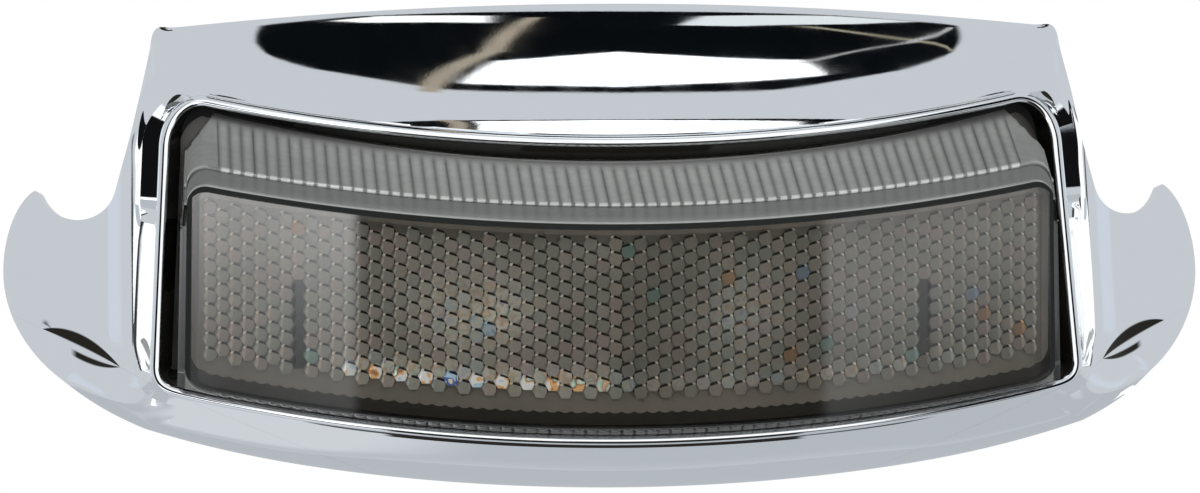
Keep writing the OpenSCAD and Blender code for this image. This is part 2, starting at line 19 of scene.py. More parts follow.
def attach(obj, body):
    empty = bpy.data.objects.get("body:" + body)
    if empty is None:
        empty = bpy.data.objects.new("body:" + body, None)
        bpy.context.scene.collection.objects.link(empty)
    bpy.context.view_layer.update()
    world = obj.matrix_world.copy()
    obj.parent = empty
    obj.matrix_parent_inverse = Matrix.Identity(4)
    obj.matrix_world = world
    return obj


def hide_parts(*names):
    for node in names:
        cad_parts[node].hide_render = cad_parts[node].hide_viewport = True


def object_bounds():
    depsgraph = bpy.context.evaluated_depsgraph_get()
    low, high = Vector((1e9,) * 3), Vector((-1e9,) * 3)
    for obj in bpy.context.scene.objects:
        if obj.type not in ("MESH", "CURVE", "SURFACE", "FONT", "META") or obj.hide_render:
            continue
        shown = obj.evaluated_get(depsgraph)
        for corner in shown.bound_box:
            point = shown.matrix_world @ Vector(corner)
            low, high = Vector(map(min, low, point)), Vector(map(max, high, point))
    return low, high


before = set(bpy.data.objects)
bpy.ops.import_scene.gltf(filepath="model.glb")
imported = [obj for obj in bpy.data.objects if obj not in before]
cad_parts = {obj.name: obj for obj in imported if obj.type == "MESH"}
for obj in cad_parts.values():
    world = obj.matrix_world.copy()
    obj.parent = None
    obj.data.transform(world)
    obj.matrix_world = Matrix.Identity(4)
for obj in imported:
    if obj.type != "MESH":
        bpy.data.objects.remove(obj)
CAD_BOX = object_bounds()

log = logging.getLogger("tail_light")

LAMP_REACH = 66.0  # from the fender face to the lens's foremost line
AXIS_DROP = 36.0  # from the fender bolts down to the window's middle line
MM = 0.001


# ---------- small mathematics ----------
def to_row(points: np.ndarray) -> np.ndarray:
    """Lamp-frame millimetres as metres in the shared row frame."""
    return (np.asarray(points, float) - (0.0, LAMP_REACH, AXIS_DROP)) * MM


def bezier(p: np.ndarray, t: float) -> np.ndarray:
    """The point at t on the cubic Bezier curve with the four control points p."""
    u = 1 - t
    return u**3 * p[0] + 3 * u * u * t * p[1] + 3 * u * t * t * p[2] + t**3 * p[3]


def ease(a: float, b: float, x: float | np.ndarray) -> float | np.ndarray:
    """A smooth step from 0 at a to 1 at b."""
    t = np.clip((x - a) / (b - a), 0.0, 1.0)
    return t * t * (3 - 2 * t)


def unit(v: np.ndarray) -> np.ndarray:
    """v, or each row of v, at length 1."""
    return v / np.maximum(np.linalg.norm(v, axis=-1, keepdims=True), 1e-12)


def rgb(r: float, g: float, b: float) -> tuple[float, float, float, float]:
    """An opaque linear colour."""
    return (r, g, b, 1.0)


# ---------- meshes ----------
def link_object(name: str, data: bpy.types.ID) -> bpy.types.Object:
    """Makes an object and links it to the scene.

    Args:
        name: the object's name.
        data: its mesh, light or camera.

    Returns:
        The object.
    """
    obj = bpy.data.objects.new(name, data)
    bpy.context.scene.collection.objects.link(obj)
    return obj


def link_mesh(name: str, points: np.ndarray, faces: list, smooth: float) -> bpy.types.Object:
    """Makes a mesh object from lamp-frame points.

    Args:
        name: the piece's name.
        points: vertices in lamp-frame millimetres.
        faces: vertex indices. A face's normal points to the side they run anticlockwise on.
        smooth: edges sharper than this angle, in degrees, are shaded sharp.

    Returns:
        The object, at the origin, with its place in its mesh.
    """
    mesh = bpy.data.meshes.new(name)
    mesh.from_pydata(to_row(points).tolist(), [], faces)
    mesh.validate()
    mesh.shade_smooth()
    mesh.set_sharp_from_angle(angle=math.radians(smooth))
    return link_object(name, mesh)


def store(mesh: bpy.types.Mesh, name: str, values: np.ndarray) -> None:
    """Stores one number per vertex under name."""
    mesh.attributes.new(name, "FLOAT", "POINT").data.foreach_set("value", np.asarray(values, float).ravel())


def loft_faces(rings: int, count: int, around: bool) -> list[list[int]]:
    """Faces of a skin over closed rings of points.

    Args:
        rings: number of rings.
        count: points in each ring.
        around: True joins the last ring to the first; False caps both ends.

    Returns:
        A list of vertex index lists. Round this script's rings they give normals that point
        inwards.
    """
    faces = []
    for i in range(rings if around else rings - 1):
        a, b = i * count, ((i + 1) % rings) * count
        for j in range(count):
            k = (j + 1) % count
            faces.append([a + j, a + k, b + k, b + j])
    if not around:
        last = (rings - 1) * count
        faces.append([j for j in range(count - 1, -1, -1)])
        faces.append([last + j for j in range(count)])
    return faces


@dataclass
class Tube:
    """A tube along y."""

    x: float
    z: float
    back: float
    outer: float
    inner: float
    sides: int = 48

    def skin(self) -> tuple[np.ndarray, list[list[int]]]:
        """The tube's skin.

        Returns:
            Its points, with the front end at y = 0, and its faces.
        """
        turn = np.linspace(0, 2 * math.pi, self.sides, endpoint=False)
        profile = ((self.outer, 0.0), (self.outer, self.back), (self.inner, self.back), (self.inner, 0.0))
        rings = [
            np.stack([self.x + r * np.cos(turn), np.full(self.sides, y), self.z + r * np.sin(turn)], 1)
            for r, y in profile
        ]
        return np.concatenate(rings), loft_faces(len(rings), self.sides, around=True)


class Assembly:
    """Gathers lofts into one mesh."""

    def __init__(self) -> None:
        """Starts empty."""
        self.points: list[np.ndarray] = []
        self.faces: list[list[int]] = []
        self.count = 0

    def add(self, points: np.ndarray, faces: list) -> None:
        """Adds points and the faces that index them from 0.

        Args:
            points: vertices in lamp-frame millimetres.
            faces: vertex index lists.
        """
        self.faces += [[self.count + i for i in f] for f in faces]
        self.points.append(points)
        self.count += len(points)

    def build(self, name: str, smooth: float) -> bpy.types.Object:
        """The gathered mesh as an object; see link_mesh for smooth."""
        return link_mesh(name, np.concatenate(self.points), self.faces, smooth)


# ---------- node trees ----------
class NodeWriter:
    """Adds nodes to a node tree and links them."""

    def __init__(self, tree: bpy.types.NodeTree) -> None:
        """Writes into tree, which is emptied."""
        self.tree = tree
        tree.nodes.clear()

    def node(self, kind: str, **settings: object) -> bpy.types.Node:
        """A new node of that kind with its settings.

        Args:
            kind: the node's type name.
            **settings: the node's own settings, by name.

        Returns:
            The node.
        """
        made = self.tree.nodes.new(kind)
        for key, value in settings.items():
            setattr(made, key, value)
        return made

    def feed(self, node: bpy.types.Node, **inputs: object) -> bpy.types.Node:
        """Sets or links inputs of a node.

        Args:
            node: the node to feed.
            **inputs: a value or an output socket for each input, whose key is its name with _ for
                a space, or i and its number.

        Returns:
            The same node.
        """
        for key, value in inputs.items():
            if key[0] == "i" and key[1:].isdigit():
                socket = node.inputs[int(key[1:])]
            else:
                socket = node.inputs[key.replace("_", " ")]
            if isinstance(value, bpy.types.NodeSocket):
                self.tree.links.new(value, socket)
            elif value is not None:
                socket.default_value = value
        return node

    def add(self, kind: str, **inputs: object) -> bpy.types.Node:
        """A new node of that kind with its inputs fed."""
        return self.feed(self.node(kind), **inputs)

    def math(self, operation: str, a: object, b: object = None, c: object = None) -> bpy.types.NodeSocket:
        """The result of a Math node."""
        made = self.node("ShaderNodeMath", operation=operation)
        return self.feed(made, i0=a, i1=b, i2=c).outputs[0]

    def smooth_step(self, value: object, start: float, end: float) -> bpy.types.NodeSocket:
        """A smooth step of value from 0 at start to 1 at end."""
        made = self.node("ShaderNodeMapRange", interpolation_type="SMOOTHSTEP")
        return self.feed(made, i0=value, i1=start, i2=end).outputs[0]

    def within(self, value: object, low: float, high: float, soft: float) -> bpy.types.NodeSocket:
        """A mask of a span.

        Args:
            value: the number to test.
            low: the span's lower end.
            high: the span's upper end.
            soft: half the width of its soft edges.

        Returns:
            1 where value lies in the span, 0 outside it.
        """
        up = self.smooth_step(value, low - soft, low + soft)
        down = self.smooth_step(value, high + soft, high - soft)
        return self.math("MULTIPLY", up, down)

    def blend(self, share: object, a: object, b: object) -> bpy.types.NodeSocket:
        """Colour a where share is 0 and b where it is 1."""
        made = self.node("ShaderNodeMix", data_type="RGBA")
        return self.feed(made, i0=share, i6=a, i7=b).outputs[2]

    def mixed(self, share: object, a: bpy.types.Node, b: bpy.types.Node) -> bpy.types.Node:
        """Shader a where share is 0 and b where it is 1."""
        return self.add("ShaderNodeMixShader", i0=share, i1=a.outputs[0], i2=b.outputs[0])

    def surface(self, shader: bpy.types.Node, kind: str = "ShaderNodeOutputMaterial") -> None:
        """Makes shader what the tree puts out."""
        self.add(kind, Surface=shader.outputs[0])

    def stored(self, name: str) -> bpy.types.NodeSocket:
        """The number stored on the mesh under name."""
        return self.node("ShaderNodeAttribute", attribute_name=name).outputs["Fac"]

    def place(self) -> bpy.types.NodeSocket:
        """The place on the piece, in its own coordinates."""
        return self.node("ShaderNodeTexCoord").outputs["Object"]

    def noise(
        self, where: object, scale: float, detail: float = 3.0, rough: float = 0.5
    ) -> bpy.types.NodeSocket:
        """The value of a noise texture at where."""
        made = self.add("ShaderNodeTexNoise", Vector=where, Scale=scale, Detail=detail, Roughness=rough)
        return made.outputs["Fac"]

    def grained(self, where: object, grain: float, detail: float, relief: float) -> bpy.types.NodeSocket:
        """The surface's normal with a fine grain of that scale and height."""
        fine = self.noise(where, grain, detail, 0.6)
        return self.add("ShaderNodeBump", Height=fine, Distance=relief, Strength=1.0).outputs[0]


# ---------- finishes ----------
@dataclass(frozen=True)
class Finish:
    """A surface finish: one principled shader with fine variation in colour, roughness and relief."""

    name: str
    colour: tuple[float, float, float]
    metal: float = 0.0
    rough: float = 0.4
    rough_spread: float = 0.06  # roughness varies by this much each way
    shade_spread: float = 0.06  # brightness varies by this share each way
    grain: float = 900.0  # noise scale, per metre
    relief: float = 0.00002  # height of the grain, in metres

    CLOUDS = 0.12  # scale of the slow variation, as a share of the grain's
    CALM = (0.3, 0.7)  # the span of that noise over which roughness goes from low to high

    def material(self) -> bpy.types.Material:
        """The finish as a material, made once.

        Returns:
            The material.
        """
        made = bpy.data.materials.get(self.name)
        if made is None:
            made = bpy.data.materials.new(self.name)
            made.use_nodes = True
            self.write(NodeWriter(made.node_tree))
        return made

    def toned(self, w: NodeWriter, colour: bpy.types.NodeSocket) -> bpy.types.NodeSocket:
        """The base colour, which kinds of finish may change."""
        return colour

    def write(self, w: NodeWriter) -> None:
        """Writes the principled shader and its noise-driven inputs.

        Args:
            w: writer of the material's tree.
        """
        where = w.place()
        clouds = w.noise(where, self.grain * self.CLOUDS)
        dark = rgb(*[c * (1 - self.shade_spread) for c in self.colour])
        light = rgb(*[min(1.0, c * (1 + self.shade_spread)) for c in self.colour])
        low, high = max(0.0, self.rough - self.rough_spread), self.rough + self.rough_spread
        start, end = self.CALM
        rough = w.add("ShaderNodeMapRange", i0=clouds, i1=start, i2=end, i3=low, i4=high).outputs[0]
        shader = w.add(
            "ShaderNodeBsdfPrincipled",
            Base_Color=self.toned(w, w.blend(clouds, dark, light)),
            Metallic=self.metal,
            Roughness=rough,
            Normal=w.grained(where, self.grain, 4.0, self.relief),
        )
        w.surface(shader)


@dataclass(frozen=True)
class PlatedFinish(Finish):
    """Bright plating, with painted dark reflections on its marked inner bevel and in a leaf-shaped hollow
    on each wing.
    """

    # the colour of the painted dark reflections
    painted_dark_colour: tuple[float, float, float] = (0.03, 0.026, 0.021)
    leaf: tuple[float, float] = (117.5, -25.2)  # the middle of the painted dark reflection in the wing's hollow, as (across, up)
    leaf_l: float = 8.6  # half its length
    leaf_h: float = 2.7  # half its height
    leaf_rise: float = 0.4  # its slope up towards the wing's edge

    UPPER = (0.05, 1.0)  # the painted dark parts, as shares of the half height at each place
    LOWER = (-1.0, -0.5)
    LOWER_END = (0.3, 0.1)  # where the lower part begins, as a share of the half length
    SOFT = 0.09

    def hollow(self, w: NodeWriter) -> bpy.types.NodeSocket:
        """A mask of the painted dark reflections in the hollows.

        Args:
            w: writer of the material's tree.

        Returns:
            1 in the painted dark upper and lower parts, 0 elsewhere.
        """
        place = w.add("ShaderNodeSeparateXYZ", Vector=w.place())
        across = w.math("MULTIPLY_ADD", w.math("ABSOLUTE", place.outputs[0]), 1 / MM, -self.leaf[0])
        up = w.math("MULTIPLY_ADD", place.outputs[2], 1 / MM, AXIS_DROP - self.leaf[1])
        along = w.math("DIVIDE", across, self.leaf_l)
        half = w.math("MULTIPLY_ADD", w.math("MULTIPLY", along, along), -self.leaf_h, self.leaf_h)
        above = w.math("MULTIPLY_ADD", across, -self.leaf_rise, up)
        share = w.math("DIVIDE", above, w.math("MAXIMUM", half, 0.01))
        upper = w.within(share, *self.UPPER, self.SOFT)
        lower = w.within(share, *self.LOWER, self.SOFT)
        lower = w.math("MULTIPLY", lower, w.smooth_step(along, *self.LOWER_END))
        front = w.math("LESS_THAN", place.outputs[1], 0.0)
        return w.math("MULTIPLY", w.math("ADD", upper, lower), front)

    def toned(self, w: NodeWriter, colour: bpy.types.NodeSocket) -> bpy.types.NodeSocket:
        """The plating's colour, with painted dark reflections on the marked bevel and in the hollows."""
        return w.blend(w.math("ADD", w.stored("recess"), self.hollow(w)), colour, rgb(*self.painted_dark_colour))


@dataclass(frozen=True)
class ClearFinish(Finish):
    """A see-through moulding: tinted, glossy, and covered with painted light and shade where its mesh
    stores them.

    The mesh may store the share that the painted layer covers, and the painted brightness there,
    from shade to light. Where that share comes near 1 the gloss fades too.
    """

    tint: tuple[float, float, float] = (0.8, 0.8, 0.8)
    gloss: float = 0.04  # share mirrored at right angles
    body: float = 0.1  # share scattered where nothing is stored

    GLOSS_FADES = (0.94, 0.87)  # painted cover at which the gloss is gone and is whole
    UNEVEN = (0.3, 0.85)  # the painted brightness is noise times the first, plus the second
    SHADOW = (0.008, 0.009, 0.009)

    def write(self, w: NodeWriter) -> None:
        """Mixes painted light and shade into what shows through, and gloss over both.

        Args:
            w: writer of the material's tree.
        """
        uneven = w.math("MULTIPLY_ADD", w.noise(w.place(), self.grain), *self.UNEVEN)
        shade = w.math("MULTIPLY", w.stored("shade"), uneven)
        solid = w.add("ShaderNodeBsdfDiffuse", Color=w.blend(shade, rgb(*self.SHADOW), rgb(*self.colour)))
        through = w.add("ShaderNodeBsdfTransparent", Color=rgb(*self.tint))
        frost = w.stored("frost")
        hazy = w.mixed(w.math("ADD", frost, self.body), through, solid)
        facing = w.add("ShaderNodeLayerWeight", Blend=0.5).outputs["Facing"]
        mirror = w.math("MULTIPLY_ADD", w.math("POWER", facing, 5.0), 1 - self.gloss, self.gloss)
        mirror = w.math("MULTIPLY", mirror, w.smooth_step(frost, *self.GLOSS_FADES))
        shine = w.add("ShaderNodeBsdfGlossy", Color=rgb(1, 1, 1), Roughness=self.rough)
        w.surface(w.mixed(mirror, hazy, shine))


@dataclass(frozen=True)
class PrismFinish(Finish):
    """The reflex optic: each facet keeps its own painted light or shade, and some pins carry painted
    glints.

    Its mesh stores "tone", the painted brightness, on the facets, and "spark" (a chance) and "glow"
    (the strength of the painted glints, below 0 for painted shade) on the pins.
    """

    seen_through: float = 0.12  # share of what lies behind that shows
    tint: tuple[float, float, float] = (0.9, 0.89, 0.87)
    mottle: float = 420.0  # noise scale of the painted glints' colours within a pin, per metre
    mottle_h: float = 1.5
    clouds: float = 60.0  # noise scale of the slow variation in tone
    lift: float = 3.0  # a pin with full painted glint is lighter by this share

    UNEVEN = (0.6, 0.7)  # the tone is noise times the first, plus the second

    SHADOW = (0.014, 0.013, 0.011)
    # Each pin's colour by its chance; the rare vivid ones at the top are painted glints
    PLAIN = (
        (0.0, (0.93, 0.84, 0.72)), (0.3, (0.84, 0.81, 0.70)), (0.55, (0.78, 0.78, 0.67)),
        (0.78, (0.93, 0.79, 0.70)), (0.965, (1.0, 0.62, 0.36)), (0.975, (0.62, 0.9, 0.78)),
        (0.985, (0.66, 0.82, 1.0)), (0.993, (1.0, 1.0, 1.0)),
    )  # fmt: skip
    # Colours of the painted glints
    VIVID = (
        (0.0, (1.0, 0.55, 0.2)), (0.12, (1.0, 1.0, 1.0)), (0.34, (0.55, 0.78, 1.0)),
        (0.56, (0.06, 0.14, 0.5)), (0.66, (1.0, 0.93, 0.7)), (0.8, (0.4, 0.85, 0.75)),
        (0.9, (0.45, 0.18, 0.08)),
    )  # fmt: skip

    @staticmethod
    def ramp(w: NodeWriter, chance: object, stops: tuple) -> bpy.types.NodeSocket:
        """A stepped colour ramp.

        Args:
            w: writer of the material's tree.
            chance: the number that picks the colour.
            stops: (start, colour) of each step.

        Returns:
            The picked colour.
        """
        node = w.add("ShaderNodeValToRGB", Fac=chance)
        ramp = node.color_ramp
        ramp.interpolation = "CONSTANT"
        ramp.elements.remove(ramp.elements[1])
        ramp.elements[0].color = rgb(*stops[0][1])
        for start, colour in stops[1:]:
            ramp.elements.new(start).color = rgb(*colour)
        return node.outputs[0]

    def write(self, w: NodeWriter) -> None:
        """Shades facets by their painted tone, spark and painted glint.

        Args:
            w: writer of the material's tree.
        """
        where, spark, glow = w.place(), w.stored("spark"), w.stored("glow")
        mottle = w.math("MULTIPLY_ADD", w.noise(where, self.mottle, 1.0), self.mottle_h, spark)
        mottle = w.math("FRACT", mottle)
        hue = w.blend(glow, self.ramp(w, spark, self.PLAIN), self.ramp(w, mottle, self.VIVID))
        uneven = w.math("MULTIPLY_ADD", w.noise(where, self.clouds, 2.0), *self.UNEVEN)
        lift = w.math("MULTIPLY_ADD", glow, self.lift, 1.0)
        level = w.math("MULTIPLY", w.math("MULTIPLY", w.stored("tone"), lift), uneven)
        shader = w.add(
            "ShaderNodeBsdfPrincipled",
            Base_Color=w.blend(level, rgb(*self.SHADOW), hue),
            Roughness=self.rough,
            Normal=w.grained(where, self.grain, 3.0, self.relief),
        )
        through = w.add("ShaderNodeBsdfTransparent", Color=rgb(*self.tint))
        w.surface(w.mixed(1 - self.seen_through, through, shader))


CHROME = PlatedFinish(
    "bright_chrome", (0.86, 0.885, 0.91), metal=1.0, rough=0.035, rough_spread=0.015, shade_spread=0.01,
    grain=1500.0, relief=0.0000012,
)  # fmt: skip
# The lens's colour is the light end of its painted brightness
SMOKED = ClearFinish(
    "smoked_acrylic", (0.62, 0.63, 0.61), rough=0.03, grain=500.0, tint=(0.86, 0.86, 0.85), gloss=0.085,
    body=0.02,
)  # fmt: skip
BULB_GLASS = ClearFinish(
    "clear_bulb_glass", (0.8, 0.82, 0.83), rough=0.02, tint=(0.94, 0.96, 0.97), body=0.03
)
PRISM = PrismFinish("reflex_prisms", (0.5, 0.5, 0.5), rough=0.12, relief=0.000002)
SILVERED = Finish("silvered_plastic", (0.42, 0.40, 0.37), metal=0.3, rough=0.35, relief=0.00001)
HOUSING = Finish(
    "black_housing_plastic", (0.022, 0.022, 0.024), rough=0.5, rough_spread=0.1, shade_spread=0.2,
    grain=1400.0, relief=0.00003,
)  # fmt: skip
NYLON = Finish(
    "black_nylon", (0.035, 0.035, 0.037), rough=0.45, rough_spread=0.08, shade_spread=0.2, grain=1600.0
)
RUBBER = Finish(
    "moulded_rubber", (0.016, 0.016, 0.017), rough=0.7, rough_spread=0.1, shade_spread=0.25, grain=1100.0,
    relief=0.00004,
)  # fmt: skip
WEDGE_BASE = Finish("wedge_base_plastic", (0.42, 0.42, 0.36), rough=0.5)
BRASS = Finish(
    "turned_brass", (0.66, 0.47, 0.20), metal=1.0, rough=0.28, rough_spread=0.08, shade_spread=0.1,
    grain=2400.0, relief=0.00001,
)  # fmt: skip
ZINC = Finish(
    "zinc_plated_steel", (0.58, 0.59, 0.60), metal=1.0, rough=0.32, rough_spread=0.08, shade_spread=0.12,
    grain=1800.0, relief=0.00001,
)  # fmt: skip
TUNGSTEN = Finish("tungsten_wire", (0.36, 0.34, 0.32), metal=1.0)


class Slot(Enum):
    """Names of the material slots of the chrome, the smoked lens and the reflex optic."""

    CHROME = "chrome"
    LENS = "smoked_lens"
    REFLEX = "reflex_optic"


def dress(obj: bpy.types.Object, finish: Finish) -> None:
    """Gives obj one finish."""
    obj.data.materials.clear()
    obj.data.materials.append(finish.material())


# ---------- the window and the bezel's outline ----------
@dataclass
class Window:
    """The window's rim: the surface it lies on and its outline, as the CAD has them."""

    width: float = 197.8
    rise: float = 21.0  # from the middle line up to the upper arc
    fall: float = 42.1  # from the middle line down to the lower arc
    front: float = 4.0  # the rim surface's y at its foot
    foot: float = 1.9  # from the lower arc down to that foot
    lean: float = 0.33  # how fast the rim surface goes back with height
    bow: float = 325.0  # its radius seen from above
    top_arc: float = 478.0
    low_arc: float = 500.0
    flare: float = 2.4  # each side goes outwards by this much on its way down
    low_corner: float = 27.0  # from the middle line down to the lower corners
    bead: float = 1.2  # half the bead's width
    side_stops: tuple[float, float, float] = (4.0, -8.0, -13.0)  # heights where the side's parts meet
    # The bevel's width, and what the sides, the top (less at the bottom) and the top's ends add
    bevels: tuple[float, float, float, float] = (1.3, 1.2, 1.7, -3.0)

    LAST = 8.0  # s at the bottom middle
    SPREAD = 0.04  # steps of s over which a normal is averaged
    NUDGE = 0.01  # step of s over which a direction is taken

    def __post_init__(self) -> None:
        """Works out the corner curves."""
        half = self.half = self.width / 2
        x0 = self.corner_x = half - 9.9
        x1 = self.low_x = half + self.flare - 7.8
        self.top_corner = np.array([
            [x0, self.top(x0)],
            [x0 + 4.5, self.top(x0 + 4.5) + 0.2],
            [half - 0.7, self.rise + 6],
            [half, self.rise - 1],
        ])  # fmt: skip
        self.bottom_corner = np.array([
            [half + self.flare, -self.low_corner],
            [half + self.flare + 0.3, -self.low_corner - 4.8],
            [x1 + 5.1, self.low(x1 + 5.1)],
            [x1, self.low(x1)],
        ])  # fmt: skip

    def depth(self, x: float, z: float) -> float:
        """The rim surface's y at (x, z)."""
        return self.front + self.lean * (z + self.fall + self.foot) + x * x / (2 * self.bow)

    def top(self, x: float) -> float:
        """Height of the upper arc."""
        return self.rise + x * x / (2 * self.top_arc)

    def low(self, x: float) -> float:
        """Height of the lower arc."""
        return -self.fall + x * x / (2 * self.low_arc)

    def side(self, z: float) -> np.ndarray:
        """The point at height z on the side."""
        start = self.rise - 1
        return np.array([self.half + (start - z) * self.flare / (start + self.low_corner), z])

    def point(self, s: float) -> np.ndarray:
        """The outline of one half.

        Args:
            s: place along it, from 0 at its top middle to 8 at its bottom middle.

        Returns:
            The point as (x, z).
        """
        part = min(int(s), 7)
        t = s - part
        if part == 0:
            x = self.corner_x * t
            return np.array([x, self.top(x)])
        if part == 1:
            return bezier(self.top_corner, t)
        if part == 6:
            return bezier(self.bottom_corner, t)
        if part == 7:
            x = self.low_x * (1 - t)
            return np.array([x, self.low(x)])
        heights = (self.rise - 1, *self.side_stops, -self.low_corner)
        return self.side(heights[part - 2] + (heights[part - 1] - heights[part - 2]) * t)

    def normal(self, s: float) -> np.ndarray:
        """Outward normal of the outline.

        Args:
            s: place along the outline.

        Returns:
            The normal as (x, z), averaged over a short stretch.
        """
        total = np.zeros(2)
        for k in range(-2, 3):
            c = min(self.LAST, max(0.0, s + k * self.SPREAD))
            if c <= 0:
                step = np.array([1.0, 0.0])
            elif c >= self.LAST:
                step = np.array([-1.0, 0.0])
            else:
                step = self.point(min(self.LAST, c + self.NUDGE)) - self.point(max(0.0, c - self.NUDGE))
            total += unit(np.array([-step[1], step[0]]))
        return unit(total)

    def beside(self, s: float, out: float, back: float) -> np.ndarray:
        """A point beside the outline: out from it, and behind the rim surface by back."""
        p = self.point(s) + self.normal(s) * out
        return np.array([p[0], self.depth(p[0], p[1]) + back, p[1]])

    def bevel(self, s: float) -> float:
        """Width of the bevel inside the bead: most at the top, where the window leans away.

        Args:
            s: place along the outline.

        Returns:
            The width.
        """
        n, x = self.normal(s), self.point(s)[0]
        plain, sides, top, ends = self.bevels
        return plain + sides * abs(n[0]) + top * n[1] + ends * max(0.0, n[1]) * (x / self.half) ** 2


@dataclass
class Bezel:
    """The chrome casting: bead and bevel round the window, curved band, wings and rolled lip."""

    window: Window
    width: float = 269.8
    band: float = 29.0  # from the window up to the band's edge
    lip: float = 11.7  # from the window down to the lip's edge
    wall: float = 2.4
    bevel_depth: float = 6.5
    bevel_top: float = 0.7  # from the rim surface back to the bevel's front edge
    bead_turn: float = 70.0  # the bead's section runs this far either side of its crown, in degrees
    bead_y: float = 0.2  # from the rim surface back to the middle of the bead's section
    bead_foot: float = 0.5  # from the rim surface back to the bead's outer foot
    seat_out: float = 0.6  # from the bead out to the hidden seat behind the bevel
    step_y: float = 0.3  # the bead's outer step lies at least this far back
    notch_r: float = 9.1
    notch_span: tuple[float, float] = (197.0, 333.0)  # the notch's arc, in degrees
    top_bow: float = 925.0  # radius of the band's upper edge
    across: int = 60  # steps over the body surface
    fineness: float = 3.2  # stations are this many times the CAD's
    boss_x: float = 62.0
    boss_r: float = 7.0
    insert_r: float = 4.56  # the hole for the mounting insert
    screw_boss_r: float = 3.4
    screw_hole_r: float = 1.55
    ledge_z: float = 26.0  # below this height the ledge above the window turns up
    ledge_tilt: float = 0.2
    ledge_soft: float = 0.4
    wing_y: float = 27.0  # the wings' surface: its y where it starts beside the window
    wing_start: float = 6.1  # from the window's side out to that start
    wing_low: float = -37.0  # the height at that start
    wing_step: float = 9.0  # how far it first curves back
    wing_curve: float = 4.5  # and how wide that curve is
    wing_sweep: float = 0.58  # then how fast it goes back outwards
    wing_lean: float = 0.4  # and upwards
    dimple_x: float = 117.5
    dimple_z: float = -25.3
    dimple_l: float = 8.5
    dimple_w: float = 1.9
    dimple_d: float = 0.5
    dimple_rise: float = 0.4
    shoulder_x: float = 77.0  # beyond this the band turns away towards its corners
    shoulder_r: float = 150.0
    shoulder_soft: float = 6.0

    STEPS = (10, 8, 4, 10, 3, 10, 6, 10)
    # Stretches of s over which the wings' surface, the ledge, the shoulder, the wings' hold on
    # the bead and the smoothing of the upper corner begin or end
    WING_IN, WING_OUT = (1.6, 2.4), (5.7, 6.5)
    LEDGE_OUT, SHOULDER_OUT, HOLD_OUT = (0.7, 1.2), (1.3, 1.9), (2.7, 2.95)
    EVEN_IN, EVEN_OUT = (0.8, 1.0), (1.5, 1.9)
    # s, step width, step depth, edge depth, run and rise leaving the step, run and rise reaching
    # the edge, and the angle in which the edge is reached
    SECTIONS = np.array([
        [0.0, 0.3, 0.3, 56.0, 11.0, 4.0, 5.5, 12.0, 90],
        [0.5, 0.3, 0.3, 56.3, 9.6, 3.5, 5.1, 10.6, 88],
        [1.0, 0.4, 0.35, 56.0, 6.6, 2.6, 4.2, 7.6, 82],
        [1.25, 0.8, 0.6, 55.0, 5.2, 2.8, 3.2, 5.2, 58],
        [1.5, 2.0, 0.6, 54.0, 3.6, 3.6, 2.6, 3.8, 20],
        [2.0, 3.6, 0.6, 52.6, 1.4, 6.0, 1.8, 1.8, 14],
        [2.75, 3.6, 0.6, 53.2, 2.0, 5.4, 1.9, 1.9, 16],
        [3.0, 3.2, 5.0, 53.5, 2.2, 5.0, 2.0, 2.0, 17],
        [3.25, 3.4, 5.6, 55.5, 4.5, 7.0, 2.6, 2.5, 52],
        [3.5, 3.6, 6.0, 58.0, 8.5, 9.0, 4.5, 3.0, 82],
        [4.0, 3.7, 6.3, 66.0, 14.0, 9.0, 9.0, 5.0, 84],
        [5.0, 3.7, 6.4, 67.0, 14.0, 9.0, 11.0, 5.0, 62],
        [5.5, 3.7, 6.2, 64.0, 10.0, 9.0, 9.0, 5.5, 2],
        [6.0, 3.6, 5.0, 48.0, 6.0, 5.0, 5.0, 5.0, -52],
        [6.5, 2.6, 3.2, 38.0, 4.0, 2.0, 2.5, 5.0, -61],
        [7.0, 1.4, 1.2, 30.0, 3.2, 2.4, 1.4, 4.5, -69],
        [7.4, 0.8, 0.5, 21.5, 4.0, 3.2, 1.0, 4.2, -79],
        [8.0, 0.7, 0.5, 15.5, 4.6, 3.9, 0.8, 4.5, -90],
    ])  # fmt: skip

    def __post_init__(self) -> None:
        """Works out the curves of the outer outline, each from the end of the one before it."""
        w = self.window
        self.top_edge = w.rise + self.band
        low_edge = -w.fall - self.lip
        self.notch = (w.half + 19.7, 11.2)
        wing, low = self.width / 2, self.width / 2 - 12.9
        tip = self.on_notch(1.0)
        horn = tip + (2.5, 0)
        x = self.edge_x = w.half - 3.4
        z = self.edge(x)
        self.hump = np.array([[x, z], [x + 4, z - 0.5], [x + 5.7, z + 1.9], [x + 6.4, z - 4.6]])
        self.shoulder = np.array([self.hump[3], [x + 7.3, z - 9.1], [x + 8.8, 30], [x + 10.1, 24.4]])
        self.waist = np.array([self.shoulder[3], [x + 11.5, 18.6], [x + 13.1, 13.5], self.on_notch(0.0)])
        self.horn = np.array([tip, tip + (0.7, 1.5), tip + (1.2, 1.2), horn])
        self.wing_upper = np.array([horn, [horn[0] + 3.2, 4], [wing, -2.5], [wing, -9.8]])
        self.wing_lower = np.array([[wing, -9.8], [wing, -18], [wing - 4.4, -26.5], [low, -32.3]])
        self.foot = np.array(
            [[low, -32.3], [low - 5, -35.8], [low - 11.5, -39.3], [low - 18.5, low_edge + 12.2]]
        )
        self.lip_edge = np.array([self.foot[3], [76, low_edge + 4], [38, low_edge], [0, low_edge]])

    def edge(self, x: float) -> float:
        """Height of the band's upper edge."""
        return self.top_edge - x * x / (2 * self.top_bow)

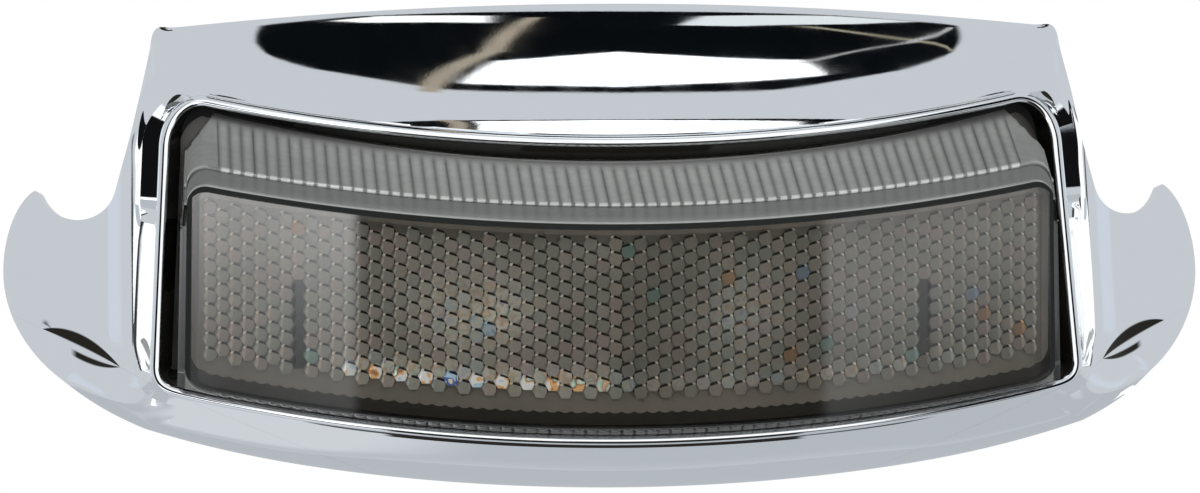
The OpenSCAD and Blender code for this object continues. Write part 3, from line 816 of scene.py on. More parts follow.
    def on_notch(self, t: float) -> np.ndarray:
        """A point on the wing's round notch.

        Args:
            t: place along it, from 0 to 1.

        Returns:
            The point as (x, z).
        """
        first, last = self.notch_span
        a = math.radians(first + (last - first) * t)
        x, z = self.notch
        return np.array([x + self.notch_r * math.cos(a), z + self.notch_r * math.sin(a)])

    def outer(self, s: float) -> np.ndarray:
        """The outer outline.

        Args:
            s: place along it, matched to the window's outline.

        Returns:
            The point as (x, z).
        """
        part = min(int(s), 7)
        t = s - part
        if part == 0:
            return np.array([self.edge_x * t, self.edge(self.edge_x * t)])
        if part == 3:
            return self.on_notch(t)
        halves = {1: (self.hump, self.shoulder), 5: (self.wing_upper, self.wing_lower)}
        if part in halves:
            return bezier(halves[part][0], t * 2) if t < 0.5 else bezier(halves[part][1], t * 2 - 1)
        return bezier({2: self.waist, 4: self.horn, 6: self.foot, 7: self.lip_edge}[part], t)

    def section_at(self, s: float) -> np.ndarray:
        """The section's sizes, by monotone cubic interpolation.

        Args:
            s: place along the outline.

        Returns:
            The columns of SECTIONS after s.
        """
        k, table = self.SECTIONS[:, 0], self.SECTIONS[:, 1:]
        j = int(np.clip(np.searchsorted(k, s, side="right") - 1, 0, len(k) - 2))
        h = k[j + 1] - k[j]
        t = (s - k[j]) / h

        def slope(i: int) -> np.ndarray:
            """Slope of every size at a row, level where its neighbours lie on one side of it.

            Args:
                i: the row.

            Returns:
                The slopes.
            """
            if i <= 0 or i >= len(k) - 1:
                return table[0] * 0
            a = (table[i] - table[i - 1]) / (k[i] - k[i - 1])
            b = (table[i + 1] - table[i]) / (k[i + 1] - k[i])
            return np.where(a * b <= 0, 0, 2 * a * b / np.where(a + b == 0, 1, a + b))

        return (
            (2 * t**3 - 3 * t * t + 1) * table[j]
            + (t**3 - 2 * t * t + t) * h * slope(j)
            + (3 * t * t - 2 * t**3) * table[j + 1]
            + (t**3 - t * t) * h * slope(j + 1)
        )

    def wing_depth(self, x: float, z: float) -> float:
        """The wings' common surface.

        Args:
            x: place across.
            z: height.

        Returns:
            The surface's y there.
        """
        d = x - self.window.half - self.wing_start
        curve = self.wing_step * (1 - math.exp(-d / self.wing_curve))
        return self.wing_y + curve + self.wing_sweep * d + self.wing_lean * (z - self.wing_low)

    def body(self, s: float) -> np.ndarray:
        """The body surface at one station.

        Args:
            s: place along the outline.

        Returns:
            Points from beside the bead to the outer edge.
        """
        w, k, n = self.window, self.section_at(s), self.window.normal(s)
        share = float(ease(*self.WING_IN, s) * (1 - ease(*self.WING_OUT, s)))
        step = w.beside(s, w.bead + k[0], k[1] + self.step_y)
        out, a = self.outer(s), math.radians(k[7])
        edge = np.array([out[0], k[2], out[1]])
        foot = step.copy()
        if share > 0:
            foot[1] = (1 - share) * foot[1] + share * self.wing_depth(foot[0], foot[2])
        curve = np.array([
            foot,
            step + (n[0] * k[3], k[4] + k[3] * w.lean * n[1], n[1] * k[3]),
            edge - (math.cos(a) * k[5], k[6], math.sin(a) * k[5]),
            edge,
        ])  # fmt: skip
        points = np.array([bezier(curve, (j / self.across) ** 1.5) for j in range(self.across + 1)])
        if share > 0:
            wing = np.array([self.wing_depth(p[0], p[2]) for p in points])
            points[:, 1] = (1 - share) * points[:, 1] + share * wing
            points[0, 1] += min(0.0, step[1] - points[0, 1]) * (1 - ease(*self.HOLD_OUT, s))
        under = np.maximum(0.0, self.ledge_z - points[:, 2]) * (1 - ease(*self.LEDGE_OUT, s))
        points[:, 1] -= self.ledge_tilt * (under - self.ledge_soft * (1 - np.exp(-under / self.ledge_soft)))
        if share > 0:
            points[:, 1] += self.dimple(points[:, 0], points[:, 2])
        turned = np.maximum(0.0, points[:, 0] - self.shoulder_x) ** 2 / (2 * self.shoulder_r)
        away = ease(0.0, self.shoulder_soft, np.hypot(points[:, 0] - step[0], points[:, 2] - step[2]))
        points[:, 1] += turned * away * (1 - ease(*self.SHOULDER_OUT, s))
        return points

    def dimple(self, x: np.ndarray, z: np.ndarray) -> np.ndarray:
        """The hollow between a wing's flat face and its rolled lower lip.

        Args:
            x: places across.
            z: heights.

        Returns:
            The hollow's depth at each.
        """
        along = (x - self.dimple_x) / self.dimple_l
        middle = self.dimple_z + self.dimple_rise * (x - self.dimple_x)
        return self.dimple_d * np.exp(-(((z - middle) / self.dimple_w) ** 2) - along**4)

    def rim(self, s: float) -> np.ndarray:
        """The bevel and the bead at one station.

        Args:
            s: place along the outline.

        Returns:
            Points from the opening outwards.
        """
        w = self.window
        inner = [
            w.beside(s, -w.bead - w.bevel(s), self.bevel_depth),
            w.beside(s, -w.bead, self.bevel_top),
        ]
        turn = np.radians(np.linspace(-self.bead_turn, self.bead_turn, 8))
        bead = [w.beside(s, w.bead * math.sin(a), self.bead_y - math.cos(a)) for a in turn]
        return np.array(inner + bead + [w.beside(s, w.bead, self.bead_foot)])

    def loops(self) -> tuple[np.ndarray, np.ndarray, np.ndarray]:
        """The stations round the whole bezel.

        Returns:
            Their seat, rim and body points.
        """
        w, stops = self.window, []
        for part, n in enumerate(self.STEPS):
            m = int(round(n * self.fineness))
            stops += [part + i / m for i in range(m)]
        stops.append(w.LAST)
        seat = np.array([[w.beside(s, w.bead + self.seat_out, self.bevel_depth)] for s in stops])
        rim = np.array([self.rim(s) for s in stops])
        body = self.evened(np.array([self.body(s) for s in stops]), np.array(stops))

        def around(half: np.ndarray) -> np.ndarray:
            """One half and its mirror image, as one loop."""
            return np.concatenate([half, half[-2:0:-1] * (-1, 1, 1)])

        return around(seat), around(rim), around(body)

    def evened(self, body: np.ndarray, stops: np.ndarray) -> np.ndarray:
        """The body with its upper corner smoothed from station to station.

        Args:
            body: the body points of every station of one half.
            stops: the stations' places along the outline.

        Returns:
            The smoothed points.
        """
        reach = int(round(3 * self.fineness))
        before = body[reach:0:-1] * (-1, 1, 1)
        after = body[-2 : -reach - 2 : -1] * (-1, 1, 1)
        padded = np.concatenate([before, body, after])
        weights = np.exp(-((np.arange(-reach, reach + 1) / reach * 1.6) ** 2))
        mean = sum(k * padded[i : i + len(body)] for i, k in enumerate(weights / weights.sum()))
        j = np.arange(self.across + 1)
        hold = np.minimum(1.0, np.minimum(j / 4, (self.across - j) / 4))
        share = ease(*self.EVEN_IN, stops) * (1 - ease(*self.EVEN_OUT, stops))
        blend = share[:, None, None] * hold[None, :, None]
        return body * (1 - blend) + mean * blend

    def back_of(self, body: np.ndarray) -> np.ndarray:
        """The body's inner surface.

        Args:
            body: the body points of every station round the whole bezel.

        Returns:
            Points one wall behind them.
        """
        along = np.roll(body, -1, 0) - np.roll(body, 1, 0)
        over = np.gradient(body, axis=1)
        facing = unit(np.cross(over, along))
        reach = int(round(2 * self.fineness))
        total = sum(np.roll(facing, k, 0) for k in range(-reach, reach + 1))
        return body + unit(total) * self.wall

    def skin_at(self, body: np.ndarray, point: np.ndarray) -> float:
        """Depth at which a boss ends inside the casting's wall.

        Args:
            body: the body points of every station.
            point: the point on the boss that is to meet the wall.

        Returns:
            The y that lies in the wall in front of the point.
        """
        away = (body[..., 0] - point[0]) ** 2 + (body[..., 2] - point[2]) ** 2
        near = np.argpartition(away.ravel(), 4)[:4]
        return float(body[..., 1].ravel()[near].max()) + self.wall * 0.7

    def bosses(self) -> list[Tube]:
        """The bosses behind the casting.

        Returns:
            Two for the mounts, then two upper and two lower ones for screws.
        """
        w = self.window
        rows = (
            (self.boss_x, AXIS_DROP, LAMP_REACH, self.boss_r, self.insert_r),
            (28, w.rise + 10, 44.0, self.screw_boss_r, self.screw_hole_r),
            (40, -w.fall - 5, 24.0, self.screw_boss_r, self.screw_hole_r),
        )
        return [Tube(side * x, *row) for x, *row in rows for side in (-1, 1)]

    def build(self) -> bpy.types.Object:
        """Builds the casting as one mesh, with its bosses.

        Returns:
            The piece.
        """
        seat, rim, body = self.loops()
        rings = np.concatenate([seat, rim, body, self.back_of(body)[:, :0:-1]], 1)
        n, k, _ = rings.shape
        made = Assembly()
        made.add(rings.reshape(-1, 3), loft_faces(n, k, around=True))
        for boss in self.bosses():
            points, faces = boss.skin()
            front = points[:, 1] == 0.0
            points[front, 1] = [self.skin_at(body, p) for p in points[front]]
            made.add(points, faces)
        obj = made.build("bezel_casting", 26.0)
        # Marks the bevel inside the bead for the plating's painted dark reflection
        recess = np.zeros((n, k))
        recess[:, :4] = (1.0, 1.0, 1.0, 0.5)
        store(obj.data, "recess", np.append(recess, np.zeros(len(obj.data.vertices) - n * k)))
        dress(obj, CHROME)
        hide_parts("chrome_bezel")
        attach(obj, "lamp")
        log.info("bezel casting: %d faces", len(obj.data.polygons))
        return obj


# ---------- lens ----------
@dataclass
class Lens:
    """The smoked lens: raised reflex face, fluted slope above it and fluted strip below it."""

    window: Window
    gap: float = 0.4  # between the lens and the bezel's bevel
    wall: float = 2.6
    plate_drop: float = 16.3  # from the window's top down to the raised face
    plate_h: float = 44.2
    plate_half: float = 94.6
    corner_r: float = 5.0
    low_cut: float = 0.7  # the lower corners are cut by this share of the upper ones
    edge_r: float = 0.35
    bow: float = 300.0
    sag: float = 525.0
    strip_back: float = 3.4
    brow_back: float = 2.0
    brow_h: float = 3.9  # the steep wall under the fluted slope
    brow_step: float = 2.4
    outline_w: float = 1.25  # the painted dark edge round the raised face
    flute_pitch: float = 2.61
    flute_h: float = 0.32
    flutes_half: float = 87.5
    bevel_depth: float = 6.5
    crown_drop: float = 3.0  # the slope's top is this much lower in the middle than at the ends
    cut_x: float = 88.0  # beyond this the window's corners cut the slope, along a line
    cut_z: float = 5.7  # from the window's top up to that line's start
    cut_fall: float = 1.18
    columns: int = 640

    # Painted cover and brightness: the clear face, the painted dark edges and the painted shade beside it
    CLEAR, DARK, SIDES = (0.0, 0.0), (0.96, 0.01), (0.85, 0.03)
    # The slope: its stops as shares of its height, where its flutes fade out and where the painted
    # highlight line at its top starts, and how far across its painted brightness darkens
    SLOPE = (0.06, 0.09, 0.12, 0.16, 0.4, 0.6, 0.76, 0.84, 0.9, 0.95, 0.97, 1.0)
    FADE, LIGHT_LINE, DIM = (0.76, 0.93), 0.96, (30, 85)
    # The slope's painted shading: in a groove, what a crest adds, beyond the flutes and on the highlight
    # line
    GROOVE, CREST, BEYOND, BRIGHT = 0.09, 0.27, 0.33, 0.9
    BRIGHTER, BRIGHTENS = 0.35, (0.3, 0.9)  # the painted light that the slope gains on its way up, and where
    SLOPE_FROST, MIDDLE, ENDS_LESS = 0.95, 0.88, 0.14  # painted cover, share of painted brightness, and less at the ends

    def face(self, x: float) -> float:
        """The reflex face's y."""
        return x * x / (2 * self.bow)

    def plate(self, x: float) -> tuple[float, float]:
        """The raised face's extent, with its rounded corners.

        Args:
            x: place across the lens.

        Returns:
            Heights of its lower and upper ends.
        """
        top = self.window.rise - self.plate_drop + x * x / (2 * self.sag)
        low = top - self.plate_h
        inside = self.plate_half - abs(x)
        if inside <= 0:
            cut = self.corner_r
        else:
            reach = max(0.0, self.corner_r - inside)
            cut = self.corner_r - math.sqrt(self.corner_r**2 - reach**2)
        return low + cut * self.low_cut, top - cut

    def crown(self, x: float) -> float:
        """Upper end of the lens's slope at x, before the window's corner cuts it."""
        w, drop = self.window, self.crown_drop
        return w.rise - w.bead - drop + drop * (x / w.half) ** 2 - self.gap + x * x / (2 * w.top_arc)

    def edges(self) -> tuple[np.ndarray, np.ndarray]:
        """The opening's outlines, a gap inside the bevel.

        Returns:
            The upper and the lower one, as rows of (x, z).
        """
        w = self.window

        def row(s0: float, s1: float) -> np.ndarray:
            """The outline's points from s0 to s1."""
            stops = np.linspace(s0, s1, 160)
            return np.array([w.point(s) - w.normal(s) * (w.bead + w.bevel(s) + self.gap) for s in stops])

        return row(0.0, 3.0), row(5.0, 8.0)[::-1]

    def slope_rows(self, x: float, rib: float, start: tuple[float, float]) -> list[tuple]:
        """The fluted slope's part of a section.

        Args:
            x: place across the lens.
            rib: 1 on a flute's crest, 0 between two flutes.
            start: the slope's foot, as (y, z).

        Returns:
            Rows of (y, z, painted cover, painted brightness).
        """
        step_y, step_z = start
        crown = self.crown(x)
        deep = self.window.depth(x, crown) + self.bevel_depth
        # Painted brightness: darker at the ends, shaded in the grooves, lighter upwards, with a highlight
        # line at the top
        dimmed = self.MIDDLE - self.ENDS_LESS * float(ease(*self.DIM, abs(x)))
        rows = []
        for t in self.SLOPE:
            fade = float(ease(*self.FADE, t))
            lit = (self.GROOVE + self.CREST * rib**0.6) * (1 - fade) + self.BEYOND * fade
            lit *= 1 + self.BRIGHTER * float(ease(*self.BRIGHTENS, t))
            lit = self.BRIGHT if t > self.LIGHT_LINE else lit
            y = step_y + (deep - step_y) * t - self.flute_h * rib * (1 - fade)
            rows.append((y, step_z + (crown - step_z) * t, self.SLOPE_FROST, lit * dimmed))
        return rows

    def section(self, x: float, low: float, high: float) -> np.ndarray:
        """The lens's front at one place.

        Args:
            x: place across the lens.
            low: height of the section's lower edge.
            high: height of its upper edge.

        Returns:
            Rows of (y, z, painted cover, painted brightness) from the lower to the upper edge.
        """
        face, beside = self.face(x), abs(x) > self.plate_half
        raised, r = (face + self.strip_back, 0.0) if beside else (face, self.edge_r)
        bottom, top = self.plate(x)
        bottom, top = max(bottom, low + 0.3), min(top, high - 0.3)
        fluted = abs(x) < self.flutes_half
        rib = abs(math.cos(math.pi * x / self.flute_pitch)) if fluted else 0.7
        strip = face + self.strip_back - 0.5 * self.flute_h * rib
        # Painted shade in the strip's grooves and round the raised face's edges
        painted_groove_shade = 0.04 if rib < 0.25 and fluted else 0.3
        plain = self.DARK if abs(x) > self.plate_half - self.outline_w else self.CLEAR
        turn = np.radians(np.linspace(0, 90, 5))
        rows = [(strip, low, 0.6, painted_groove_shade), (strip, bottom - 0.9, 0.6, painted_groove_shade), (strip, bottom - 0.6, 0.6, 0.08)]
        rows += [(face + self.strip_back, bottom - 0.02, *self.DARK)]
        rows += [(raised + r * (1 - math.sin(a)), bottom + r * (1 - math.cos(a)), 0.5, 0.02) for a in turn]
        rows += [(raised, bottom + r + 0.1, *plain)]
        rows += [(raised, bottom + (top - bottom) * t, *plain) for t in (0.2, 0.4, 0.6, 0.8)]
        rows += [(raised, top - self.outline_w, *plain), (raised, top - self.outline_w + 0.1, *self.DARK)]
        rows += [(raised + r * (1 - math.cos(a)), top - r * (1 - math.sin(a)), *self.DARK) for a in turn]
        start = face + self.brow_back
        step_z, step_y = top + self.brow_h, start + self.brow_step
        brow = 0.11 + 0.04 * rib
        # A painted highlight along the raised face's top, then the brow's painted light
        rows += [(start, top + 0.05, 0.8, 0.5), (start + 0.1, top + 0.3, 0.8, 0.3)]
        rows += [(start + 0.2, top + 0.55, 0.75, brow), (step_y - 0.1, step_z - 0.5, 0.75, brow)]
        # Painted glints where the flutes begin
        painted_glint = 0.95 if rib > 0.5 and fluted else 0.3
        rows += [(step_y - 0.45, step_z - 0.1, 0.85, painted_glint), (step_y - 0.5, step_z + 0.15, 0.85, painted_glint)]
        points = np.array(rows + self.slope_rows(x, rib, (step_y, step_z)))
        points[:, 1] = np.minimum(points[:, 1], high)
        # Painted shade beside the raised face
        if beside:
            points[points[:, 1] < top, 2:] = self.SIDES
        return points

    def build(self) -> bpy.types.Object:
        """Builds the lens as one closed moulding.

        Returns:
            The piece.
        """
        upper, lower = self.edges()
        x_top, x_low = upper[-1, 0], lower[-1, 0]
        rings = []
        for u in np.linspace(-1, 1, self.columns + 1):
            x = u * (x_top + x_low) / 2
            high = np.interp(abs(x), upper[:, 0], upper[:, 1])
            high = min(high, self.window.rise + self.cut_z - self.cut_fall * (abs(x) - self.cut_x))
            low = np.interp(abs(x), lower[:, 0], lower[:, 1])
            front = self.section(x, low, high)
            lean = float(ease(0.86, 1.0, abs(u))) * np.sign(u)
            share = (high - front[:, 1]) / max(high - low, 1e-6)
            xs = x + lean * (share - 0.5) * (x_low - x_top)
            outer = np.column_stack([xs, front])
            inner = outer[::-1] + (0.0, self.wall, 0.0, 0.0, 0.0)
            inner[:, 3:] = 0.0
            rings.append(np.concatenate([outer, inner]))
        rings = np.array(rings)
        flat = rings.reshape(-1, 5)
        obj = link_mesh("lens_moulding", flat[:, :3], loft_faces(*rings.shape[:2], around=False), 40.0)
        store(obj.data, "frost", flat[:, 3])
        store(obj.data, "shade", flat[:, 4])
        dress(obj, SMOKED)
        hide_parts("lens")
        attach(obj, "lamp")
        log.info("lens moulding: %d faces", len(obj.data.polygons))
        return obj


# ---------- reflex optic ----------
class Hand(Enum):
    """The two mould inserts: the pins left of the middle, and their mirror image right of it."""

    LEFT = 1
    RIGHT = -1


@dataclass
class ReflexOptic:
    """The prism plate behind the raised face: rows of faceted pins on a thin bowed slab."""

    lens: Lens
    column: float = 2.71  # distance between columns of pins
    pitch: float = 3.2  # distance between pins in a column
    depth: float = 0.85  # the pins' relief
    behind: float = 2.75  # from the lens's face to the pins' tops
    side_margin: float = 2.6
    top_margin: float = 1.5
    low_margin: float = 4.8
    slab_t: float = 0.6
    slab_edge: float = 0.7  # from the raised face's ends to the slab's
    border_w: float = 1.8  # the slab's painted light upper border
    wave_drop: float = 1.9  # from the lower margin down to the crests of the border's waves
    wave_h: float = 0.45
    row_z: float = -29.3  # the row of the strongest painted glints
    row_w: float = 1.9
    posts: tuple[float, float] = (-70.4, 65.1)  # posts behind the optic, whose shade is painted on the pins, as places across
    posts_z: float = -18.0
    posts_half: float = 11.0
    posts_dark: float = 0.32
    spots_z: float = -14.0
    spots_glow: float = 0.3
    seed: int = 7

    SPOTS = ((-37, 9), (-27, 6), (24, 10))  # painted glimmers of the bulbs behind: place across and radius
    # Spans across over which the row begins, weakens to a quarter and ends
    ROW_IN, ROW_WEAKENS, ROW_OUT = (-66, -56), (-12, 4), (60, 90)
    ODD = 0.45  # the row's strength in every other column
    PALE, PLAIN, DARK = 0.34, 0.2, 0.02  # the slab's tones: painted light, plain and painted shade
    # Painted shade of each insert's pins: the right ones darker
    SIDE_PAINTED_SHADE = {Hand.LEFT: 0.93, Hand.RIGHT: 0.70}
    SKIRT = 0.05  # painted shade of a pin's sides
    # A pin's facets: corners as (across, up, back) in shares of the column, pitch and depth, the
    # first eight of them round its rim, and the painted light or shade of each facet
    RIM = 8
    CORNERS = (
        (-0.667, 0.0, 0.5), (-0.42, 0.37, 0.6), (-0.333, 0.5, 0.4), (-0.1, 0.5, 0.5), (0.333, 0.5, 0.4),
        (0.667, 0.0, 0.5), (0.333, -0.5, 0.15), (-0.333, -0.5, 0.15), (-0.36, 0.32, 0.0),
        (-0.2, 0.36, 0.0), (0.52, 0.19, 0.0), (0.53, -0.13, 0.0), (-0.52, -0.1, 0.0), (0.4, 0.34, 0.8),
    )  # fmt: skip
    FACETS = (
        ((8, 12, 7, 6, 11, 10, 9), 0.31), ((0, 7, 12), 0.27), ((0, 12, 8, 1), 0.25),
        ((1, 8, 9, 3, 2), 0.95), ((3, 9, 10, 13), 0.01), ((3, 13, 4), 0.27), ((13, 10, 5, 4), 0.24),
        ((10, 11, 5), 0.02), ((11, 6, 5), 0.22),
    )  # fmt: skip

    def pin(self, hand: Hand) -> bpy.types.Object:
        """One pin, open at its back, with the painted light or shade of each facet stored on its faces.

        Its normals point inwards.

        Args:
            hand: the mould insert it belongs to.

        Returns:
            A helper object, to be removed after use.
        """
        size = np.array([self.column * hand.value, self.pitch, self.depth])
        points = [(x, y, z) for x, z, y in np.array(self.CORNERS) * size * MM]
        first = len(points)
        points += [(points[i][0], self.depth * MM, points[i][2]) for i in range(self.RIM)]
        faces = [list(f) for f, _ in self.FACETS]
        for i in range(self.RIM):
            before = (i - 1) % self.RIM
            faces.append([before, i, first + i, first + before])
        if hand is Hand.LEFT:
            faces = [f[::-1] for f in faces]
        mesh = bpy.data.meshes.new(f"pin_{hand.name.lower()}")
        mesh.from_pydata(points, [], faces)
        facets = [tone * self.SIDE_PAINTED_SHADE[hand] for _, tone in self.FACETS]
        tones = mesh.attributes.new("tone", "FLOAT", "FACE")
        tones.data.foreach_set("value", facets + [self.SKIRT] * self.RIM)
        return link_object(mesh.name, mesh)

    def centres(self) -> bpy.types.Object:
        """The pins' centres inside the face's margins.

        Returns:
            An object of loose points, with "right" and "glow" stored on them.
        """
        lens, places, hands = self.lens, [], []
        half = lens.plate_half - self.side_margin
        count = int(half // self.column)
        flat_low = lens.plate(0)[0] + self.low_margin + self.pitch / 2
        for i in range(-count, count + 1):
            x = i * self.column
            low, top = lens.plate(min(abs(x) + self.side_margin, lens.plate_half - 0.01))
            low, top = low + self.low_margin + self.pitch / 2, top - self.top_margin - self.pitch / 2
            sag = x * x / (2 * lens.sag)
            z = flat_low + sag + (self.pitch / 2 if i % 2 else 0.0)
            while z <= top:
                if z >= low:
                    places.append((x, lens.face(x) + self.behind, z))
                    hands.append(x >= 0)
                z += self.pitch
        mesh = bpy.data.meshes.new("pin_centres")
        mesh.from_pydata(to_row(np.array(places)).tolist(), [], [])
        right = mesh.attributes.new("right", "BOOLEAN", "POINT")
        right.data.foreach_set("value", hands)
        store(mesh, "glow", self.glow(np.array(places)))
        return link_object("reflex_prisms", mesh)

    def glow(self, places: np.ndarray) -> np.ndarray:
        """Strength of the painted glints: most in a row above the lower border.

        Args:
            places: the pins' centres, as rows of (x, y, z).

        Returns:
            One number for each, up to 1, and below 0 where the posts' shade is painted.
        """
        x, _, z = places.T
        row = z - x * x / (2 * self.lens.sag)
        band = np.exp(-(((row - self.row_z) / self.row_w) ** 2))
        weak = 1 - 0.75 * ease(*self.ROW_WEAKENS, x)
        band *= ease(*self.ROW_IN, x) * weak * (1 - ease(*self.ROW_OUT, x))
        band *= np.where(np.round(x / self.column) % 2 == 0, 1.0, self.ODD)
        # Painted glimmers of the bulbs
        spots = [
            self.spots_glow * np.exp(-((x - a) ** 2 + (z - self.spots_z) ** 2) / r**2)
            for a, r in self.SPOTS
        ]
        # Painted shade of the posts
        across = np.minimum(abs(x - self.posts[0]), abs(x - self.posts[1]))
        posts = self.posts_dark * (across < 1) * (abs(z - self.posts_z) < self.posts_half)
        return np.clip(band + sum(spots), 0, 1) - posts

    def slab(self) -> bpy.types.Object:
        """Builds the plate that carries the pins, with a painted light upper and painted dark lower border.

        Returns:
            The piece.
        """
        lens, rings = self.lens, []
        half = lens.plate_half - 1.0
        front = self.behind + self.depth
        for x in np.linspace(-half, half, 561):
            low, top = lens.plate(min(abs(x) + 0.9, lens.plate_half - 0.01))
            low, top = low + self.slab_edge, top - self.slab_edge
            crest = self.wave_h * abs(math.cos(math.pi * x / self.column))
            wave = low + self.low_margin - self.wave_drop - crest
            # Painted light beyond the pins at the slab's ends
            tone = self.PALE if abs(x) > half - self.side_margin + 1.2 else self.PLAIN
            y = lens.face(x) + front
            rows = (
                (y, low, self.DARK),
                (y, wave, self.DARK),
                (y, wave + 0.08, tone),
                (y, top - self.border_w - 0.1, tone),
                (y, top - self.border_w, self.PALE),
                (y, top, self.PALE),
                (y + self.slab_t, top, self.PLAIN),
                (y + self.slab_t, low, self.DARK),
            )
            rings.append([(x, *row) for row in rows])
        rings = np.array(rings)
        flat = rings.reshape(-1, 4)
        obj = link_mesh("reflex_slab", flat[:, :3], loft_faces(*rings.shape[:2], around=False), 40.0)
        store(obj.data, "tone", flat[:, 3])
        dress(obj, PRISM)
        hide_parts("reflex_plate")
        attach(obj, "lamp")
        log.info("reflex slab: %d faces", len(obj.data.polygons))
        return obj

    def tree(self, pins: dict[Hand, bpy.types.Object]) -> bpy.types.NodeTree:
        """Writes the node group that stands a pin on each centre and gives each its own spark.

        Args:
            pins: the pin for each hand.

        Returns:
            The group, with inputs Geometry, Size, Seed and Finish.
        """
        group = bpy.data.node_groups.new("stand_pins", "GeometryNodeTree")
        face = group.interface
        face.new_socket("Geometry", in_out="INPUT", socket_type="NodeSocketGeometry")
        face.new_socket("Size", in_out="INPUT", socket_type="NodeSocketFloat").default_value = 1.0
        face.new_socket("Seed", in_out="INPUT", socket_type="NodeSocketInt").default_value = 0
        face.new_socket("Finish", in_out="INPUT", socket_type="NodeSocketMaterial")
        face.new_socket("Geometry", in_out="OUTPUT", socket_type="NodeSocketGeometry")
        w = NodeWriter(group)
        given = w.node("NodeGroupInput")
        right = w.node("GeometryNodeInputNamedAttribute", data_type="BOOLEAN")
        w.feed(right, Name="right")
        left = w.feed(w.node("FunctionNodeBooleanMath", operation="NOT"), i0=right.outputs[0])
        join = w.node("GeometryNodeJoinGeometry")
        for hand, chosen in ((Hand.LEFT, left.outputs[0]), (Hand.RIGHT, right.outputs[0])):
            pin = w.add("GeometryNodeObjectInfo", Object=pins[hand])
            stand = w.add(
                "GeometryNodeInstanceOnPoints",
                Points=given.outputs[0],
                Selection=chosen,
                Instance=pin.outputs["Geometry"],
                Scale=given.outputs[1],
            )
            group.links.new(stand.outputs[0], join.inputs[0])
        chance = w.feed(w.node("FunctionNodeRandomValue", data_type="FLOAT"), Seed=given.outputs[2])
        spark = w.node("GeometryNodeStoreNamedAttribute", data_type="FLOAT", domain="INSTANCE")
        w.feed(spark, Geometry=join.outputs[0], Name="spark", Value=chance.outputs[1])
        real = w.add("GeometryNodeRealizeInstances", Geometry=spark.outputs[0])
        dressed = w.add("GeometryNodeSetMaterial", Geometry=real.outputs[0], Material=given.outputs[3])
        w.add("NodeGroupOutput", i0=dressed.outputs[0])
        return group

    def build(self) -> bpy.types.Object:
        """Builds the pins as one plain mesh, on their slab.

        Returns:
            The pins' piece.
        """
        self.slab()
        pins = {hand: self.pin(hand) for hand in Hand}
        holder = self.centres()
        modifier = holder.modifiers.new("pins", "NODES")
        modifier.node_group = group = self.tree(pins)
        sockets = {s.name: s.identifier for s in group.interface.items_tree if s.in_out == "INPUT"}
        modifier[sockets["Size"]] = 1.0
        modifier[sockets["Seed"]] = self.seed
        modifier[sockets["Finish"]] = PRISM.material()
        graph = bpy.context.evaluated_depsgraph_get()
        mesh = bpy.data.meshes.new_from_object(holder.evaluated_get(graph), depsgraph=graph)
        holder.modifiers.clear()
        holder.data = mesh
        for pin in pins.values():
            bpy.data.objects.remove(pin)
        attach(holder, "lamp")
        log.info("reflex prisms: %d faces", len(mesh.polygons))
        return holder


# ---------- CAD nodes that keep their shape ----------
@dataclass
class Hardware:
    """The CAD nodes that keep their own mesh and only get a finish."""

    screws: int = 4

    # Finish by CAD node name, for the single nodes and for those that come left and right
    SINGLE = {
        "edge_welt": RUBBER, "lens_gasket": RUBBER, "lead_grommet": RUBBER, "lamp_housing": HOUSING,
        "bright_liner": SILVERED, "vent_plug": NYLON,
    }  # fmt: skip
    PAIRED = {
        "wing_pad": RUBBER, "mount_insert": BRASS, "bulb_socket": NYLON, "socket_seal": RUBBER,
        "bulb_base": WEDGE_BASE, "bulb_glass": BULB_GLASS, "filament": TUNGSTEN, "contacts": BRASS,
    }  # fmt: skip

    def build(self) -> None:
        """Finishes every node that nothing replaces."""
        finishes = self.SINGLE | {f"housing_screw_{k}": ZINC for k in range(1, self.screws + 1)}
        for side in ("left", "right"):
            finishes |= {f"{name}_{side}": finish for name, finish in self.PAIRED.items()}
        for name, finish in finishes.items():
            dress(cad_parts[name], finish)
        log.info("finished %d CAD nodes", len(finishes))


